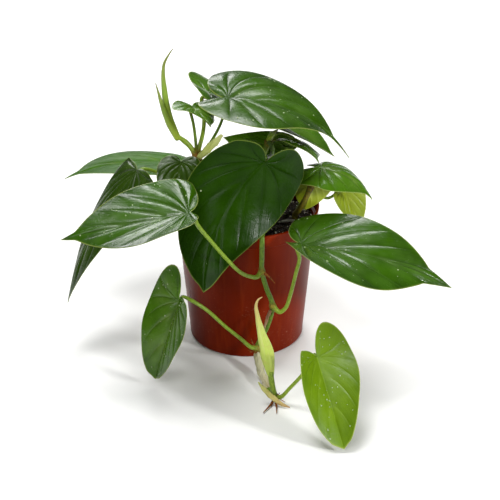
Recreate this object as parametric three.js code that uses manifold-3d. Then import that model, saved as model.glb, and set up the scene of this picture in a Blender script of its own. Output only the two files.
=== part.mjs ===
// Potted heartleaf philodendron: a round nursery pot of soil with five stems, one trailing over the rim.
// Millimetres, +Z up. The origin is the middle of the pot's underside, which stands on the surface,
// and the front of the plant faces -Y.
import * as THREE from "three";
import { mergeVertices } from "three/addons/utils/BufferGeometryUtils.js";
import Module from "manifold-3d";

const wasm = await Module();
wasm.setup();

// Pot, soil and clearances
const POT = {
  height: 124,
  rimRadius: 62.5,
  collarHeight: 12,
  collarRadius: 61.5,
  bodyRadius: 59.5,
  footRadius: 49.5,
  footHeight: 4,
  baseRadius: 47,
  wall: 1.6,
  floor: 2,
  segments: 48,
};
const DRAIN = { count: 6, radius: 4.5, circle: 33, segments: 12 };
const SOIL = { height: 110, relief: 1.1, rings: 7, segments: 36, lumps: 34, lumpRadius: 2.6, seed: 7 };
const GAP = 0.35;
const HOLE_GAP = 0.8;
const STEM_FOOT = 82;

// Thickness of a blade, of a petiole and of the stems
const BLADE_THICKNESS = 0.8;
const PETIOLE = 1.8;
const THIN_PETIOLE = 1.35;
const VINE = 2.1;
const STEM = 2.9;
const SIDES = 6;
const STEP_LENGTH = 9;

// Half of a heart-shaped blade, from the notch round the lobe to the tip: x in lengths, y in half widths.
// The lobe's x values are scaled by each leaf's own lobe.
// A blunt leaf has a wider tip, and a full one more body.
const HALF_OUTLINE = [
  [0, 0], [-0.4, 0.055], [-0.8, 0.19], [-1, 0.4], [-0.82, 0.66], [-0.3, 0.89], [0.11, 1],
  [0.33, 0.92], [0.56, 0.66], [0.76, 0.34], [0.89, 0.11], [0.95, 0.04], [1, 0],
];
const BLUNT = { 9: [0, 0.1], 10: [0.03, 0.19], 11: [0.02, 0.14] };
const FULL = { 7: [0, 0.06], 8: [0, 0.15], 9: [0, 0.18], 10: [0, 0.08] };
const OUTLINE_STEPS = 12;
const FAN_FRONT = 0.3;
const FAN_BOW = 0.16;
const MIDRIB_SHARE = 0.5;

// Each leaf: where its petiole joins it, its tip, the way its upper face looks, its width, and its bends.
// lobes, fold and sides are pairs, for the half on the upper face's left and for the other half.
// Angles are in degrees: arch bends the midrib down, fold lifts a half from it, rear lifts the lobes.
const BLADE_DEFAULTS = {
  lobes: [0.2, 0.2],
  sides: [1, 1],
  fold: [8, 8],
  arch: 20,
  camber: 0,
  rear: 0,
  twist: 0,
  sway: 0,
  blunt: 0,
  full: [0, 0],
  rays: 16,
  steps: 3,
};
const LEAVES = {
  leaf_front_left: {
    base: [-46, -101, 167], tip: [-149, -104, 144], face: [-0.21, -0.06, 0.97], width: 90,
    lobes: [0.08, 0.08], arch: 5, fold: [11, 6], camber: -0.08, sides: [1, 0.95], rear: 2, twist: -28,
    blunt: -0.17, full: [0.22, 0.22], rays: 18,
  },
  leaf_front_right: {
    base: [45, -77, 126], tip: [169, -92, 93], face: [0.28, 0.34, 0.9], width: 92, lobes: [0.08, 0.1],
    arch: 28, fold: [22, -4], camber: -0.03, rear: 20, twist: 55, sway: -0.08, sides: [0.97, 1.25],
    blunt: -0.5, full: [-0.12, -0.12], rays: 18,
  },
  leaf_low_left: {
    base: [-56, -82, 76], tip: [-77, -95, 7], face: [-0.65, -0.69, 0.33], width: 52, lobes: [0.08, 0.36],
    arch: 15, fold: [43, 25], camber: 0.28, rear: 20, twist: -12, sway: 0.02,
    blunt: 0.8, full: [1.2, 1.2], rays: 14,
  },
  leaf_low_front: {
    base: [57, -140, 56], tip: [78, -195, 4], face: [0.31, -0.6, 0.74], width: 59, lobes: [0.34, 0.05],
    arch: 2, fold: [15, 35], camber: -0.12, rear: 12, twist: 38, blunt: 0.8, full: [1, 1], rays: 14,
  },
  leaf_centre: {
    base: [15, -54, 189], tip: [-35, -101, 94], face: [0.34, -0.91, 0.07], width: 100, lobes: [0.16, 0.1],
    arch: -33, fold: [-9, -2], camber: 0.1, rear: 4, twist: 54, sway: -0.08, sides: [0.97, 0.78],
    blunt: 0.5, full: [0, 1.5], rays: 18,
  },
  leaf_top: {
    base: [-15, -6, 225], tip: [87, -8, 171], face: [0.44, 0.34, 0.83], width: 104, lobes: [0.12, 0.23],
    arch: 55, fold: [37, -1], camber: 0.32, twist: 6, sides: [1, 1.04],
    blunt: -0.5, full: [-0.6, -0.6], rays: 18,
  },
  leaf_top_behind: {
    base: [-34, 47, 204.5], tip: [76, 24, 157.5], face: [0.41, 0.31, 0.82], width: 84, lobes: [0.18, 0.12],
    arch: 14, fold: [27, 17], camber: 0.35, rear: 24, twist: 10, sway: -0.02, sides: [1.25, 1.02],
    blunt: 0.28, full: [0.9, 0.56],
  },
  leaf_top_small: {
    base: [-45, 5, 212], tip: [-29, -20, 205], face: [0.34, -0.04, 0.94], width: 41, lobes: [0.2, 0.36],
    arch: 12, fold: [8, 11], camber: 0.28, rear: 10, twist: -28, rays: 12,
  },
  leaf_behind_right: {
    base: [43, 22, 171.7], tip: [61.5, -3, 164.4], face: [0.31, -0.13, 0.94], width: 50,
    lobes: [0.29, 0.25], arch: 38, fold: [-13, 20], camber: 0.2, rear: 8, twist: -16,
    blunt: -0.1, full: [-0.4, -0.1], rays: 12,
  },
  leaf_right: {
    base: [63, -5, 161], tip: [107, -12, 134], face: [0.51, -0.15, 0.85], width: 62, lobes: [0.26, 0.41],
    arch: 54, fold: [-12, 4], camber: 0.14, rear: -20, twist: 4, blunt: -0.16, full: [-0.3, -0.3], rays: 14,
  },
  leaf_behind_centre: {
    base: [36, 44, 156], tip: [-20, 36, 170], face: [0.1, -0.9, 0.4], width: 32, lobes: [0.14, 0.12],
    arch: 10, fold: [6, 6], camber: 0.1, sides: [1.15, 0.8], blunt: 0.3, full: [0.6, 0.3], rays: 12,
  },
  leaf_right_hanging: {
    base: [57, -2, 149], tip: [50, -3, 120], face: [0.1, 1, 0.2], width: 36, lobes: [0.08, 0.08],
    arch: -10, fold: [12, 12], blunt: 0.5, full: [0.6, 0.6], rays: 12,
  },
  leaf_far_right_hanging: {
    base: [83, 14, 133], tip: [99, 8, 93], face: [0.5, -0.8, 0.2], width: 34, lobes: [0.03, 0.03],
    arch: 15, fold: [30, 30], camber: 0.1, blunt: 0.2, rays: 12,
  },
  leaf_centre_left: {
    base: [-55, -14, 170], tip: [-64, -66, 142], face: [-0.1, -0.45, 0.9], width: 36, lobes: [0.12, 0.12],
    arch: 20, fold: [10, 10], camber: 0.1, rays: 14,
  },
  leaf_rear_left: {
    base: [-57, 54, 136], tip: [-160, 47, 125], face: [-0.13, 0.23, 0.96], width: 82, lobes: [0.19, 0.2],
    arch: 33, fold: [13, 13], camber: 0.28, rear: -13, twist: -11, blunt: -0.3, full: [0.4, 0.4],
  },
  leaf_far_left: {
    base: [-92, -11.7, 161.6], tip: [-153, -42, 50], face: [-0.84, -0.25, 0.53], width: 61,
    lobes: [0.04, 0.02], arch: 28, fold: [-11, 3], rear: 14, twist: 9, sway: -0.03, sides: [1.15, 0.9],
    blunt: 0.2, full: [0.22, -0.32],
  },
};

const vec = (point) => new THREE.Vector3(...point);
const rad = THREE.MathUtils.degToRad;
const mix = THREE.MathUtils.lerp;

// Geometry with shared vertices and nothing but positions
function bare(geometry) {
  geometry.deleteAttribute("normal");
  geometry.deleteAttribute("uv");
  return mergeVertices(geometry, 1e-3);
}

function toSolid(geometry) {
  return new wasm.Manifold(new wasm.Mesh({
    numProp: 3,
    vertProperties: new Float32Array(geometry.attributes.position.array),
    triVerts: new Uint32Array(geometry.index.array),
  }));
}

function toGeometry(solid) {
  const mesh = solid.getMesh();
  const geometry = new THREE.BufferGeometry();
  geometry.setAttribute("position", new THREE.BufferAttribute(new Float32Array(mesh.vertProperties), 3));
  geometry.setIndex(new THREE.BufferAttribute(new Uint32Array(mesh.triVerts), 1));
  geometry.computeVertexNormals();
  return geometry;
}

const join = (solids) => solids.reduce((whole, piece) => whole.add(piece));

// Value at a share of the way along a list of evenly spaced values
function along(values, share) {
  const place = share * (values.length - 1);
  const before = Math.min(Math.floor(place), values.length - 2);
  return mix(values[before], values[before + 1], place - before);
}

// A closed round limb on a smooth curve, whose radius follows a list from its start to its end.
// A sheath or a bud scale is flat, and wide is the direction in which it isn't squeezed.
function limb(points, radii, { sides = SIDES, flat = 1, wide = null } = {}) {
  const curve = new THREE.CatmullRomCurve3(points.map(vec), false, "centripetal");
  const steps = Math.max(2, Math.round(curve.getLength() / STEP_LENGTH), radii.length - 1);
  const frames = curve.computeFrenetFrames(steps, false);
  if (wide) {
    frames.normals = frames.tangents.map((tangent) => vec(wide).projectOnPlane(tangent).normalize());
    frames.binormals = frames.tangents.map((tangent, i) => tangent.clone().cross(frames.normals[i]));
  }
  const geometry = bare(new THREE.CylinderGeometry(1, 1, 1, sides, steps));
  const position = geometry.attributes.position;
  for (let i = 0; i < position.count; i += 1) {
    const share = position.getY(i) + 0.5;
    const ring = Math.round(share * steps);
    const radius = along(radii, share);
    const place = curve.getPointAt(ring / steps)
      .addScaledVector(frames.normals[ring], position.getX(i) * radius)
      .addScaledVector(frames.binormals[ring], -position.getZ(i) * radius * flat);
    position.setXYZ(i, place.x, place.y, place.z);
  }
  return toSolid(geometry);
}

// A rounded swelling where leaves and roots leave a stem
function swelling(centre, radius, height) {
  const geometry = bare(new THREE.SphereGeometry(1, 8, 6));
  geometry.rotateX(Math.PI / 2);
  geometry.scale(radius, radius, height);
  geometry.translate(...centre);
  return toSolid(geometry);
}

// One heart-shaped blade, bent and folded round its midrib
class Blade {
  constructor(shape) {
    Object.assign(this, BLADE_DEFAULTS, shape);
    const chord = vec(this.tip).sub(vec(this.base));
    this.bend = rad(this.arch);
    this.length = (chord.length() * this.bend) / (2 * Math.sin(this.bend / 2));
    this.dip = this.bend / 2;
    this.ahead = chord.normalize();
    const face = vec(this.face);
    this.upward = face.addScaledVector(this.ahead, -face.dot(this.ahead)).normalize();
    this.leftward = new THREE.Vector3().crossVectors(this.upward, this.ahead);
  }

  // Point of the blade: x in lengths along the midrib, y in half widths
  place(x, y) {
    const side = y >= 0 ? 0 : 1;
    const half = (this.width / 2) * this.sides[side];
    const fold = rad(this.fold[side]);
    const away = Math.abs(y);
    const sag = this.camber * half * away ** 2;
    const back = Math.max(-x, 0) * this.length;
    const across = y * half * Math.cos(fold) + Math.sign(y) * sag * Math.sin(fold);
    const lobeRise = Math.tan(rad(this.rear)) * back * (0.4 + 0.6 * away);
    const rise = away * half * Math.sin(fold) - sag * Math.cos(fold) + lobeRise;
    const turn = rad(this.twist) * THREE.MathUtils.clamp(x, -0.3, 1);
    const inside = THREE.MathUtils.clamp(x, 0, 1);
    const aside = across * Math.cos(turn) - rise * Math.sin(turn)
      + 4 * this.sway * this.length * inside * (1 - inside);
    const up = across * Math.sin(turn) + rise * Math.cos(turn);
    const angle = this.bend * inside;
    const run = (this.length * Math.sin(angle)) / this.bend - back + up * Math.sin(angle);
    const drop = (-this.length * (1 - Math.cos(angle))) / this.bend + up * Math.cos(angle);
    return vec(this.base)
      .addScaledVector(this.ahead, run * Math.cos(this.dip) - drop * Math.sin(this.dip))
      .addScaledVector(this.leftward, aside)
      .addScaledVector(this.upward, run * Math.sin(this.dip) + drop * Math.cos(this.dip));
  }

  // Direction of the midrib, and the way up from the blade, where the petiole joins it
  joint() {
    const forward = this.ahead.clone().multiplyScalar(Math.cos(this.dip))
      .addScaledVector(this.upward, Math.sin(this.dip));
    const up = this.upward.clone().multiplyScalar(Math.cos(this.dip))
      .addScaledVector(this.ahead, -Math.sin(this.dip));
    return { forward, up };
  }

  // Margin of one half as [x, y] pairs from the tip to the notch
  margin(side) {
    const points = HALF_OUTLINE.map(([x, y], i) => {
      const [bx, by] = BLUNT[i] ?? [0, 0];
      const [fx, fy] = FULL[i] ?? [0, 0];
      const scaled = x < 0 ? x * this.lobes[side] : x;
      return new THREE.Vector2(
        scaled + this.blunt * bx + this.full[side] * fx,
        y + this.blunt * by + this.full[side] * fy,
      );
    });
    const curve = new THREE.SplineCurve(points);
    return curve.getPoints(OUTLINE_STEPS * (points.length - 1)).reverse();
  }

  // Margin points at which the rays end: evenly spaced in front of the widest place, and again behind it
  rayEnds(side) {
    const aspect = ((this.width / 2) * this.sides[side]) / this.length;
    const outline = this.margin(side);
    const split = outline.findIndex((point) => point.x < FAN_FRONT);
    const front = spread(outline.slice(0, split + 1), this.frontRays(), aspect);
    const rear = spread(outline.slice(split), this.rays - this.frontRays(), aspect);
    return [...front, ...rear.slice(1)];
  }

  frontRays() {
    return Math.round(this.rays * MIDRIB_SHARE);
  }

  // Rows of [x, y] places on one half. Row 0 is the tip, and the last row is the notch.
  fan(side) {
    const aspect = ((this.width / 2) * this.sides[side]) / this.length;
    const sign = side === 0 ? 1 : -1;
    return this.rayEnds(side).map((end, i) => {
      const start = new THREE.Vector2(Math.max(0, 1 - i / this.frontRays()), 0);
      const reach = end.clone().sub(start);
      const bow = FAN_BOW * Math.cos((Math.PI * i) / this.rays);
      const middle = start.clone().add(end).multiplyScalar(0.5)
        .add(new THREE.Vector2(-reach.y * aspect, reach.x / aspect).multiplyScalar(bow));
      const ray = new THREE.QuadraticBezierCurve(start, middle, end);
      return ray.getPoints(this.steps).map((point) => [point.x, sign * point.y]);
    });
  }

  // The closed blade: the same triangles on both faces, and a wall round the margin
  geometry() {
    const places = [];
    const keys = new Map();
    const vertex = (key, [x, y]) => {
      if (!keys.has(key)) {
        keys.set(key, places.length);
        places.push(this.place(x, y));
      }
      return keys.get(key);
    };
    const faces = [];
    const walls = [];
    for (const side of [0, 1]) {
      const rows = this.fan(side).map((row, i) => row.map((point, j) => {
        if (i === 0) return vertex("tip", [1, 0]);
        if (i === this.rays || (j === 0 && i >= this.frontRays())) return vertex("base", [0, 0]);
        return vertex(j === 0 ? `midrib ${i}` : `${side} ${i} ${j}`, point);
      }));
      const turned = (corners) => (side === 0 ? corners : [...corners].reverse());
      for (let i = 0; i < this.rays; i += 1) {
        for (let j = 0; j < this.steps; j += 1) {
          const [a, b, c, d] = [rows[i][j], rows[i][j + 1], rows[i + 1][j + 1], rows[i + 1][j]];
          for (const corners of [[a, b, c], [a, c, d]]) {
            if (new Set(corners).size === 3) faces.push(turned(corners));
          }
        }
        walls.push(turned([rows[i][this.steps], rows[i + 1][this.steps]]));
      }
    }
    const middle = new THREE.BufferGeometry().setFromPoints(places);
    middle.setIndex(faces.flat());
    middle.computeVertexNormals();
    const normal = middle.attributes.normal;
    const shifted = (distance) => places.map((place, i) => place.clone()
      .addScaledVector(new THREE.Vector3().fromBufferAttribute(normal, i), distance));
    const count = places.length;
    const under = faces.map(([a, b, c]) => [c + count, b + count, a + count]);
    const edge = walls.flatMap(([a, b]) => [[a, a + count, b + count], [a, b + count, b]]);
    const closed = new THREE.BufferGeometry()
      .setFromPoints([...shifted(BLADE_THICKNESS / 2), ...shifted(-BLADE_THICKNESS / 2)]);
    closed.setIndex([...faces, ...under, ...edge].flat());
    closed.computeVertexNormals();
    return closed;
  }
}

// Points at equal distances along a flat line, with y stretched by the leaf's own width
function spread(line, count, aspect) {
  const reach = [0];
  for (let i = 1; i < line.length; i += 1) {
    const step = line[i].clone().sub(line[i - 1]);
    reach.push(reach[i - 1] + Math.hypot(step.x, step.y * aspect));
  }
  const total = reach[reach.length - 1];
  return Array.from({ length: count + 1 }, (_, k) => {
    const want = (total * k) / count;
    const after = Math.max(1, reach.findIndex((distance) => distance >= want - 1e-9));
    const share = (want - reach[after - 1]) / (reach[after] - reach[after - 1]);
    return line[after - 1].clone().lerp(line[after], share);
  });
}

const blades = Object.fromEntries(Object.entries(LEAVES).map(([name, shape]) => [name, new Blade(shape)]));

// The last stretch of a petiole, which lies along the foot of its leaf's midrib: under the blade, or on it.
// room is added to the gap between them.
function alongLeaf(name, radius, { room = 0, above = false }) {
  const blade = blades[name];
  const { forward, up } = blade.joint();
  const offset = radius + BLADE_THICKNESS / 2 + GAP + room;
  return [-3, 4].map((distance) => vec(blade.base)
    .addScaledVector(forward, distance)
    .addScaledVector(up, above ? offset : -offset)
    .toArray());
}

// Route of a stem that stands upright in its hole in the soil
const rooted = (x, y) => [STEM_FOOT, SOIL.height - 9, SOIL.height + 1, SOIL.height + 4]
  .map((z) => [x, y, z]);

// The limbs of each stem are listed with their radii, so that what wraps a stem can be cut clear of it.
const limbsOf = (limbs, grow = 0) => join(limbs.map(({ route, radii, ball }) => (ball
  ? swelling(ball, radii[0] + grow, radii[1] + grow)
  : limb(route, radii.map((radius) => radius + grow)))));
const petiole = (points, name, radius = PETIOLE, place = {}) => ({
  route: [...points, ...alongLeaf(name, radius, place)],
  radii: [radius * 1.25, radius, radius, radius, radius, radius, radius * 0.8],
});
const root = (...route) => ({ route, radii: [1.3, 1, 0.6] });

const HOLES = {
  trailing: [14, -38],
  crown: [-20, 5],
  rear: [5, 25],
  right: [42, 0],
  left: [-25, 15],
};

// The trailing stem climbs over the rim, hangs down the front of the pot and lies on the surface
const TRAIL_NODES = [[13, -67, 95], [22, -65, 61], [9, -63, 18], [24, -119, 4.2]];
const TRAIL_ROUTE = [
  ...rooted(...HOLES.trailing),
  [13.5, -46, 125],
  [13, -57, 129],
  [13, -65, 125.5],
  [13, -67.5, 112],
  TRAIL_NODES[0],
  [17, -66, 78],
  TRAIL_NODES[1],
  [18, -64, 41],
  TRAIL_NODES[2],
  [10, -71, 10.5],
  [12.5, -82, 6],
  [16.5, -97, 4.4],
  [20.5, -111, 4.2],
  TRAIL_NODES[3],
];
const SPUR_END = [20, -121, 31];
const trailing = [
  { route: TRAIL_ROUTE, radii: [VINE, VINE] },
  ...TRAIL_NODES.map((ball) => ({ ball, radii: [VINE * 1.45, VINE * 1.3] })),
  petiole([TRAIL_NODES[0], [9, -72, 92.5], [3, -79, 96.5], [-5, -88, 105.5], [-17, -96, 123.5],
    [-29, -100, 141.5], [-39, -101, 156]], "leaf_front_left"),
  petiole([TRAIL_NODES[1], [28, -70, 57.5], [33, -71, 62], [37, -73, 76], [41, -75, 96], [44, -77, 113]],
    "leaf_front_right"),
  petiole([TRAIL_NODES[2], [4, -67, 21], [-5, -71, 32], [-18, -76, 47], [-33, -80, 65], [-46, -81, 75]],
    "leaf_low_left"),
  petiole([TRAIL_NODES[3], [29, -123, 7], [36, -127, 18], [46, -132, 34], [52, -135, 46]],
    "leaf_low_front"),
  { route: [TRAIL_NODES[3], [22, -121, 14], [20.5, -121, 24], SPUR_END], radii: [2.6, 2.4, 2.6] },
  { ball: SPUR_END, radii: [2.7, 2.7] },
  root(TRAIL_NODES[0], [19, -69.5, 91], [24, -71.5, 86]),
  root(TRAIL_NODES[2], [4, -66, 20], [-0.5, -67, 25]),
  root(TRAIL_NODES[2], [6, -64.5, 22], [4, -64.5, 28]),
  root(TRAIL_NODES[3], [20, -128, 2.4], [14, -138, 1.4]),
  root(TRAIL_NODES[3], [25, -129, 2.6], [25, -139, 1.4]),
];

// The crown stem at the left carries a new shoot and the petioles of the top leaves
const CROWN = [-42, -1, 170];
const SHOOT_END = [-58, 0, 188];
const crown = [
  { route: [...rooted(...HOLES.crown), [-26, 3, 134], [-36, 0, 157], CROWN], radii: [STEM, STEM] },
  { ball: CROWN, radii: [4.6, 4.4] },
  { route: [CROWN, [-49, 0, 180], SHOOT_END], radii: [2.6, 2.2, 2.4] },
  { ball: SHOOT_END, radii: [2.5, 2.5] },
  petiole([CROWN, [-43, 4, 184], [-44.5, 6, 196]], "leaf_top_small", THIN_PETIOLE),
  petiole([CROWN, [-37, 9, 185], [-36, 27, 193]], "leaf_top_behind"),
  petiole([CROWN, [-35, 2, 174], [-28, 4, 184], [-20, -1, 204]], "leaf_top", THIN_PETIOLE),
];

// Three more stems stand behind: one for the centre leaf, one at the right and one at the left
const REAR = [19, 30, 169];
const rear = [
  { route: [...rooted(...HOLES.rear), [9, 27, 140], REAR], radii: [STEM, STEM * 0.9] },
  { ball: REAR, radii: [3.8, 3.8] },
  petiole([REAR, [22, 12, 172], [21, -16, 178], [17, -40, 187]], "leaf_centre", PETIOLE, { room: 0.5 }),
  petiole([REAR, [25, 29, 175.5], [31, 28, 177.5], [39, 26, 174]],
    "leaf_behind_right", THIN_PETIOLE, { above: true }),
  petiole([REAR, [27, 33, 169.5], [36, 36, 166], [43, 40, 160]],
    "leaf_behind_centre", THIN_PETIOLE, { above: true }),
];
const RIGHT = [55, -9, 145];
const right = [
  { route: [...rooted(...HOLES.right), [45, -7, 122], [50, -11, 134], RIGHT], radii: [STEM, STEM * 0.8] },
  { ball: RIGHT, radii: [3.4, 3.4] },
  petiole([RIGHT, [58, -9, 153]], "leaf_right", PETIOLE, { room: 0.6 }),
  petiole([RIGHT, [56, -7, 150]], "leaf_right_hanging", THIN_PETIOLE),
  petiole([[42, 0, 112.5], [46, 9, 119], [53, 13, 127], [60, 10, 128.5], [70, 5, 127], [78, 9, 131]],
    "leaf_far_right_hanging", THIN_PETIOLE),
];
const LEFT = [-50, 10, 139];
const left = [
  { route: [...rooted(...HOLES.left), [-37, 12, 127], LEFT], radii: [STEM, STEM] },
  { ball: LEFT, radii: [3.8, 3.8] },
  petiole([LEFT, [-49, 30, 133]], "leaf_rear_left"),
  petiole([LEFT, [-62, -1, 147], [-76, -6, 157]], "leaf_far_left", PETIOLE, { room: 0.4 }),
  petiole([LEFT, [-52, 2, 151], [-54, -4, 162]], "leaf_centre_left"),
  {
    route: [LEFT, [-64, 2, 136], [-80, -9, 140], [-87, -14, 148], [-88, -15, 158]],
    radii: [2.6, 2.8, 3.1, 3.1],
  },
];

// Radius of the pot's outer wall at a height, from the foot to the collar
function wallRadius(z) {
  const share = (z - POT.footHeight) / (POT.height - POT.collarHeight - POT.footHeight);
  return mix(POT.footRadius, POT.bodyRadius, share);
}

function turn(profile, segments) {
  const points = profile.map(([r, z]) => new THREE.Vector2(r, z));
  return bare(new THREE.LatheGeometry(points, segments)).rotateX(Math.PI / 2);
}

function cylinder(x, y, bottom, top, radius, segments) {
  const geometry = bare(new THREE.CylinderGeometry(radius, radius, top - bottom, segments));
  geometry.rotateX(Math.PI / 2);
  geometry.translate(x, y, (top + bottom) / 2);
  return toSolid(geometry);
}

// A thin pot with a collar at its rim, a rounded foot and a ring of drainage holes round a solid middle
function potSolid() {
  const collar = POT.height - POT.collarHeight;
  const { wall, floor } = POT;
  const shell = toSolid(turn([
    [0, 0],
    [POT.baseRadius - 1, 0],
    [POT.baseRadius + 1.2, 0.9],
    [POT.footRadius - 0.4, 2.2],
    [POT.footRadius, POT.footHeight],
    [POT.bodyRadius - 0.1, collar - 0.6],
    [POT.collarRadius, collar],
    [POT.rimRadius - 0.2, POT.height - 1.6],
    [POT.rimRadius, POT.height - 0.8],
    [POT.rimRadius - 0.5, POT.height],
    [POT.rimRadius - wall, POT.height],
    [POT.collarRadius - wall, collar + wall],
    [POT.bodyRadius - wall, collar + 0.4],
    [POT.footRadius - wall, POT.footHeight + 1],
    [POT.footRadius - wall - 2, floor],
    [0, floor],
  ], POT.segments));
  const holes = Array.from({ length: DRAIN.count }, (_, i) => {
    const angle = (2 * Math.PI * (i + 0.5)) / DRAIN.count;
    const [x, y] = [DRAIN.circle * Math.cos(angle), DRAIN.circle * Math.sin(angle)];
    return cylinder(x, y, -1, floor + 1, DRAIN.radius, DRAIN.segments);
  });
  return holes.reduce((whole, hole) => whole.subtract(hole), shell);
}

// Repeatable random numbers from 0 to 1
function dice(seed) {
  let state = seed;
  return () => {
    state = (state * 16807) % 2147483647;
    return state / 2147483647;
  };
}

// The soil fills the pot. Its top has low relief and lumps, and a plain hole for each stem.
function soilSolid() {
  const gapped = (z) => wallRadius(z) - POT.wall - GAP;
  const top = gapped(SOIL.height);
  const bottom = POT.floor + GAP;
  const rings = Array.from({ length: SOIL.rings }, (_, i) => (
    [top * (1 - (i + 1) / SOIL.rings), SOIL.height]));
  const body = turn([
    [0, bottom],
    [gapped(bottom) - 2.4, bottom],
    [gapped(POT.footHeight + 1) - 0.2, POT.footHeight + 1],
    [top - 0.2, SOIL.height - 1.2],
    [top - 1.4, SOIL.height - 0.2],
    ...rings,
  ], SOIL.segments);
  const position = body.attributes.position;
  for (let i = 0; i < position.count; i += 1) {
    const [x, y] = [position.getX(i), position.getY(i)];
    if (position.getZ(i) < SOIL.height - 0.1) continue;
    const relief = Math.sin(x * 0.31 + 1) * Math.cos(y * 0.27) + 0.5 * Math.sin(x * 0.7 - y * 0.53);
    position.setZ(i, SOIL.height + SOIL.relief * 0.66 * relief);
  }
  const random = dice(SOIL.seed);
  const lumps = Array.from({ length: SOIL.lumps }, () => {
    const radius = SOIL.lumpRadius * (0.5 + 0.6 * random());
    const reach = (top - 2 * SOIL.lumpRadius) * Math.sqrt(random());
    const angle = 2 * Math.PI * random();
    const lump = bare(new THREE.IcosahedronGeometry(radius, 0));
    lump.rotateX(6 * random());
    lump.scale(1, 1, 0.75);
    lump.translate(reach * Math.cos(angle), reach * Math.sin(angle), SOIL.height - 0.2 * radius);
    return toSolid(lump);
  });
  const heap = join([toSolid(body), ...lumps]);
  return Object.entries(HOLES).reduce((whole, [name, [x, y]]) => {
    const radius = (name === "trailing" ? VINE : STEM) + HOLE_GAP;
    return whole.subtract(cylinder(x, y, STEM_FOOT - 0.5, SOIL.height + 8, radius, 12));
  }, heap);
}

// Bud scales and dried sheaths, each cut clear of the stem that it wraps or leans on
function sheathSolids() {
  const clear = (stem, solid) => solid.subtract(limbsOf(stem, GAP));
  const crownShoot = join([
    limb([[-57, -1, 185], [-64, 0, 203], [-68, 0, 229], [-68, 0, 252], [-64, 0, 261], [-60, 0, 267]],
      [2.6, 3.3, 3.1, 2.6, 1.9, 1.1, 0.4], { wide: [1, 0, 0], flat: 0.75 }),
    limb([[-58, -2, 186], [-65, -3, 202], [-70, -4, 218], [-73, -4, 230], [-75, -4, 238]],
      [2.3, 2.8, 2.4, 1.4, 0.4], { wide: [1, 0, 0], flat: 0.7 }),
  ]);
  return {
    crown_shoot: clear(crown, crownShoot),
    crown_sheath: clear(crown, limb([[-40, -5, 170], [-36, -7, 175], [-29, -8, 183], [-20, -9, 193]],
      [2.5, 3.6, 3.8, 1.6], { wide: [-0.7, 0, 0.7], flat: 0.35 })),
    rear_bud: clear(rear, limb([[19, 28, 171], [22, 27, 177], [27, 26, 182]], [2.6, 2.6, 0.7])),
    trailing_shoot: clear(trailing, limb([[20.2, -121, 27], [18.5, -121.5, 40], [16, -122, 54],
      [12.5, -122, 68], [9.5, -122, 82], [8, -121, 93], [9.5, -120.5, 98], [13, -120, 100.5]],
    [2.9, 5, 6.2, 4.9, 3.3, 2.2, 1.4, 0.5], { wide: [1, 0, 0], flat: 0.5 })),
    trailing_papery_sheath: clear(trailing, limb([[9.2, -66, 14.5], [10, -71, 10.5], [12.5, -82, 6],
      [16.5, -97, 4.4], [19.2, -106, 4.3]], [3.4, 3.9, 3.8, 3.6, 3.3])),
    trailing_tip_sheath: clear(trailing, limb([[10, -123, 21.5], [14.5, -123.5, 15], [20, -124.5, 9.5],
      [28, -128.5, 4.2], [36, -131, 1.7]], [0.8, 2.4, 2.7, 2.2, 0.7], { wide: [0.6, 0, 0.8], flat: 0.4 })),
    trailing_dried_sheath: clear(trailing, limb([[20, -68.5, 58], [16.5, -69.5, 47], [14.5, -69.5, 37]],
      [1.6, 1.4, 0.5])),
  };
}

// A dried strip of old sheath that lies on the soil
function driedStrip(soil) {
  const strip = limb([[27, -10, 110.5], [33, -9, 111.6], [39, -9, 112.2], [43, -10, 112.6]],
    [1.6, 1.9, 1.7, 0.9], { wide: [0, 1, 0], flat: 0.5 });
  return strip.subtract(soil.translate([0, 0, GAP])).subtract(limbsOf(right, GAP));
}

const finish = (color, roughness) => new THREE.MeshStandardMaterial({ color, roughness, metalness: 0 });
const MATERIALS = {
  pot: finish(0x9a3418, 0.32),
  soil: finish(0x2a1c14, 0.95),
  stem: finish(0x5f7d2c, 0.45),
  leaf: finish(0x2f5a12, 0.3),
  youngLeaf: finish(0x8aa632, 0.35),
  bud: finish(0xa9b84e, 0.5),
  papery: finish(0xcfc9a4, 0.8),
  dried: finish(0x8b7355, 0.85),
};
const YOUNG = ["leaf_low_left", "leaf_low_front", "leaf_right_hanging", "leaf_far_right_hanging"];
const SHEATH_FINISH = {
  crown_shoot: "bud",
  crown_sheath: "papery",
  rear_bud: "papery",
  trailing_shoot: "bud",
  trailing_papery_sheath: "papery",
  trailing_tip_sheath: "bud",
  trailing_dried_sheath: "dried",
};

const plant = new THREE.Group();

function addNode(name, geometry, material) {
  const mesh = new THREE.Mesh(geometry, material);
  mesh.name = name;
  plant.add(mesh);
}

const soil = soilSolid();
addNode("pot", toGeometry(potSolid()), MATERIALS.pot);
addNode("soil", toGeometry(soil), MATERIALS.soil);
addNode("dried_strip", toGeometry(driedStrip(soil)), MATERIALS.dried);
for (const [name, limbs] of Object.entries({ trailing, crown, rear, right, left })) {
  addNode(`${name}_stem`, toGeometry(limbsOf(limbs)), MATERIALS.stem);
}
for (const [name, solid] of Object.entries(sheathSolids())) {
  addNode(name, toGeometry(solid), MATERIALS[SHEATH_FINISH[name]]);
}
for (const [name, blade] of Object.entries(blades)) {
  addNode(name, blade.geometry(), YOUNG.includes(name) ? MATERIALS.youngLeaf : MATERIALS.leaf);
}

export default plant;
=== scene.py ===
"""Potted heartleaf philodendron: finished leaves, stems, sheaths, pot and soil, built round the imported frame.

Sizes and places are in millimetres, in the frame's own axes. A mesh is put in metres when it is made.
"""

import logging
import math
from collections.abc import Iterable, Sequence
from dataclasses import dataclass, field
from enum import Enum
from typing import ClassVar

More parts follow.
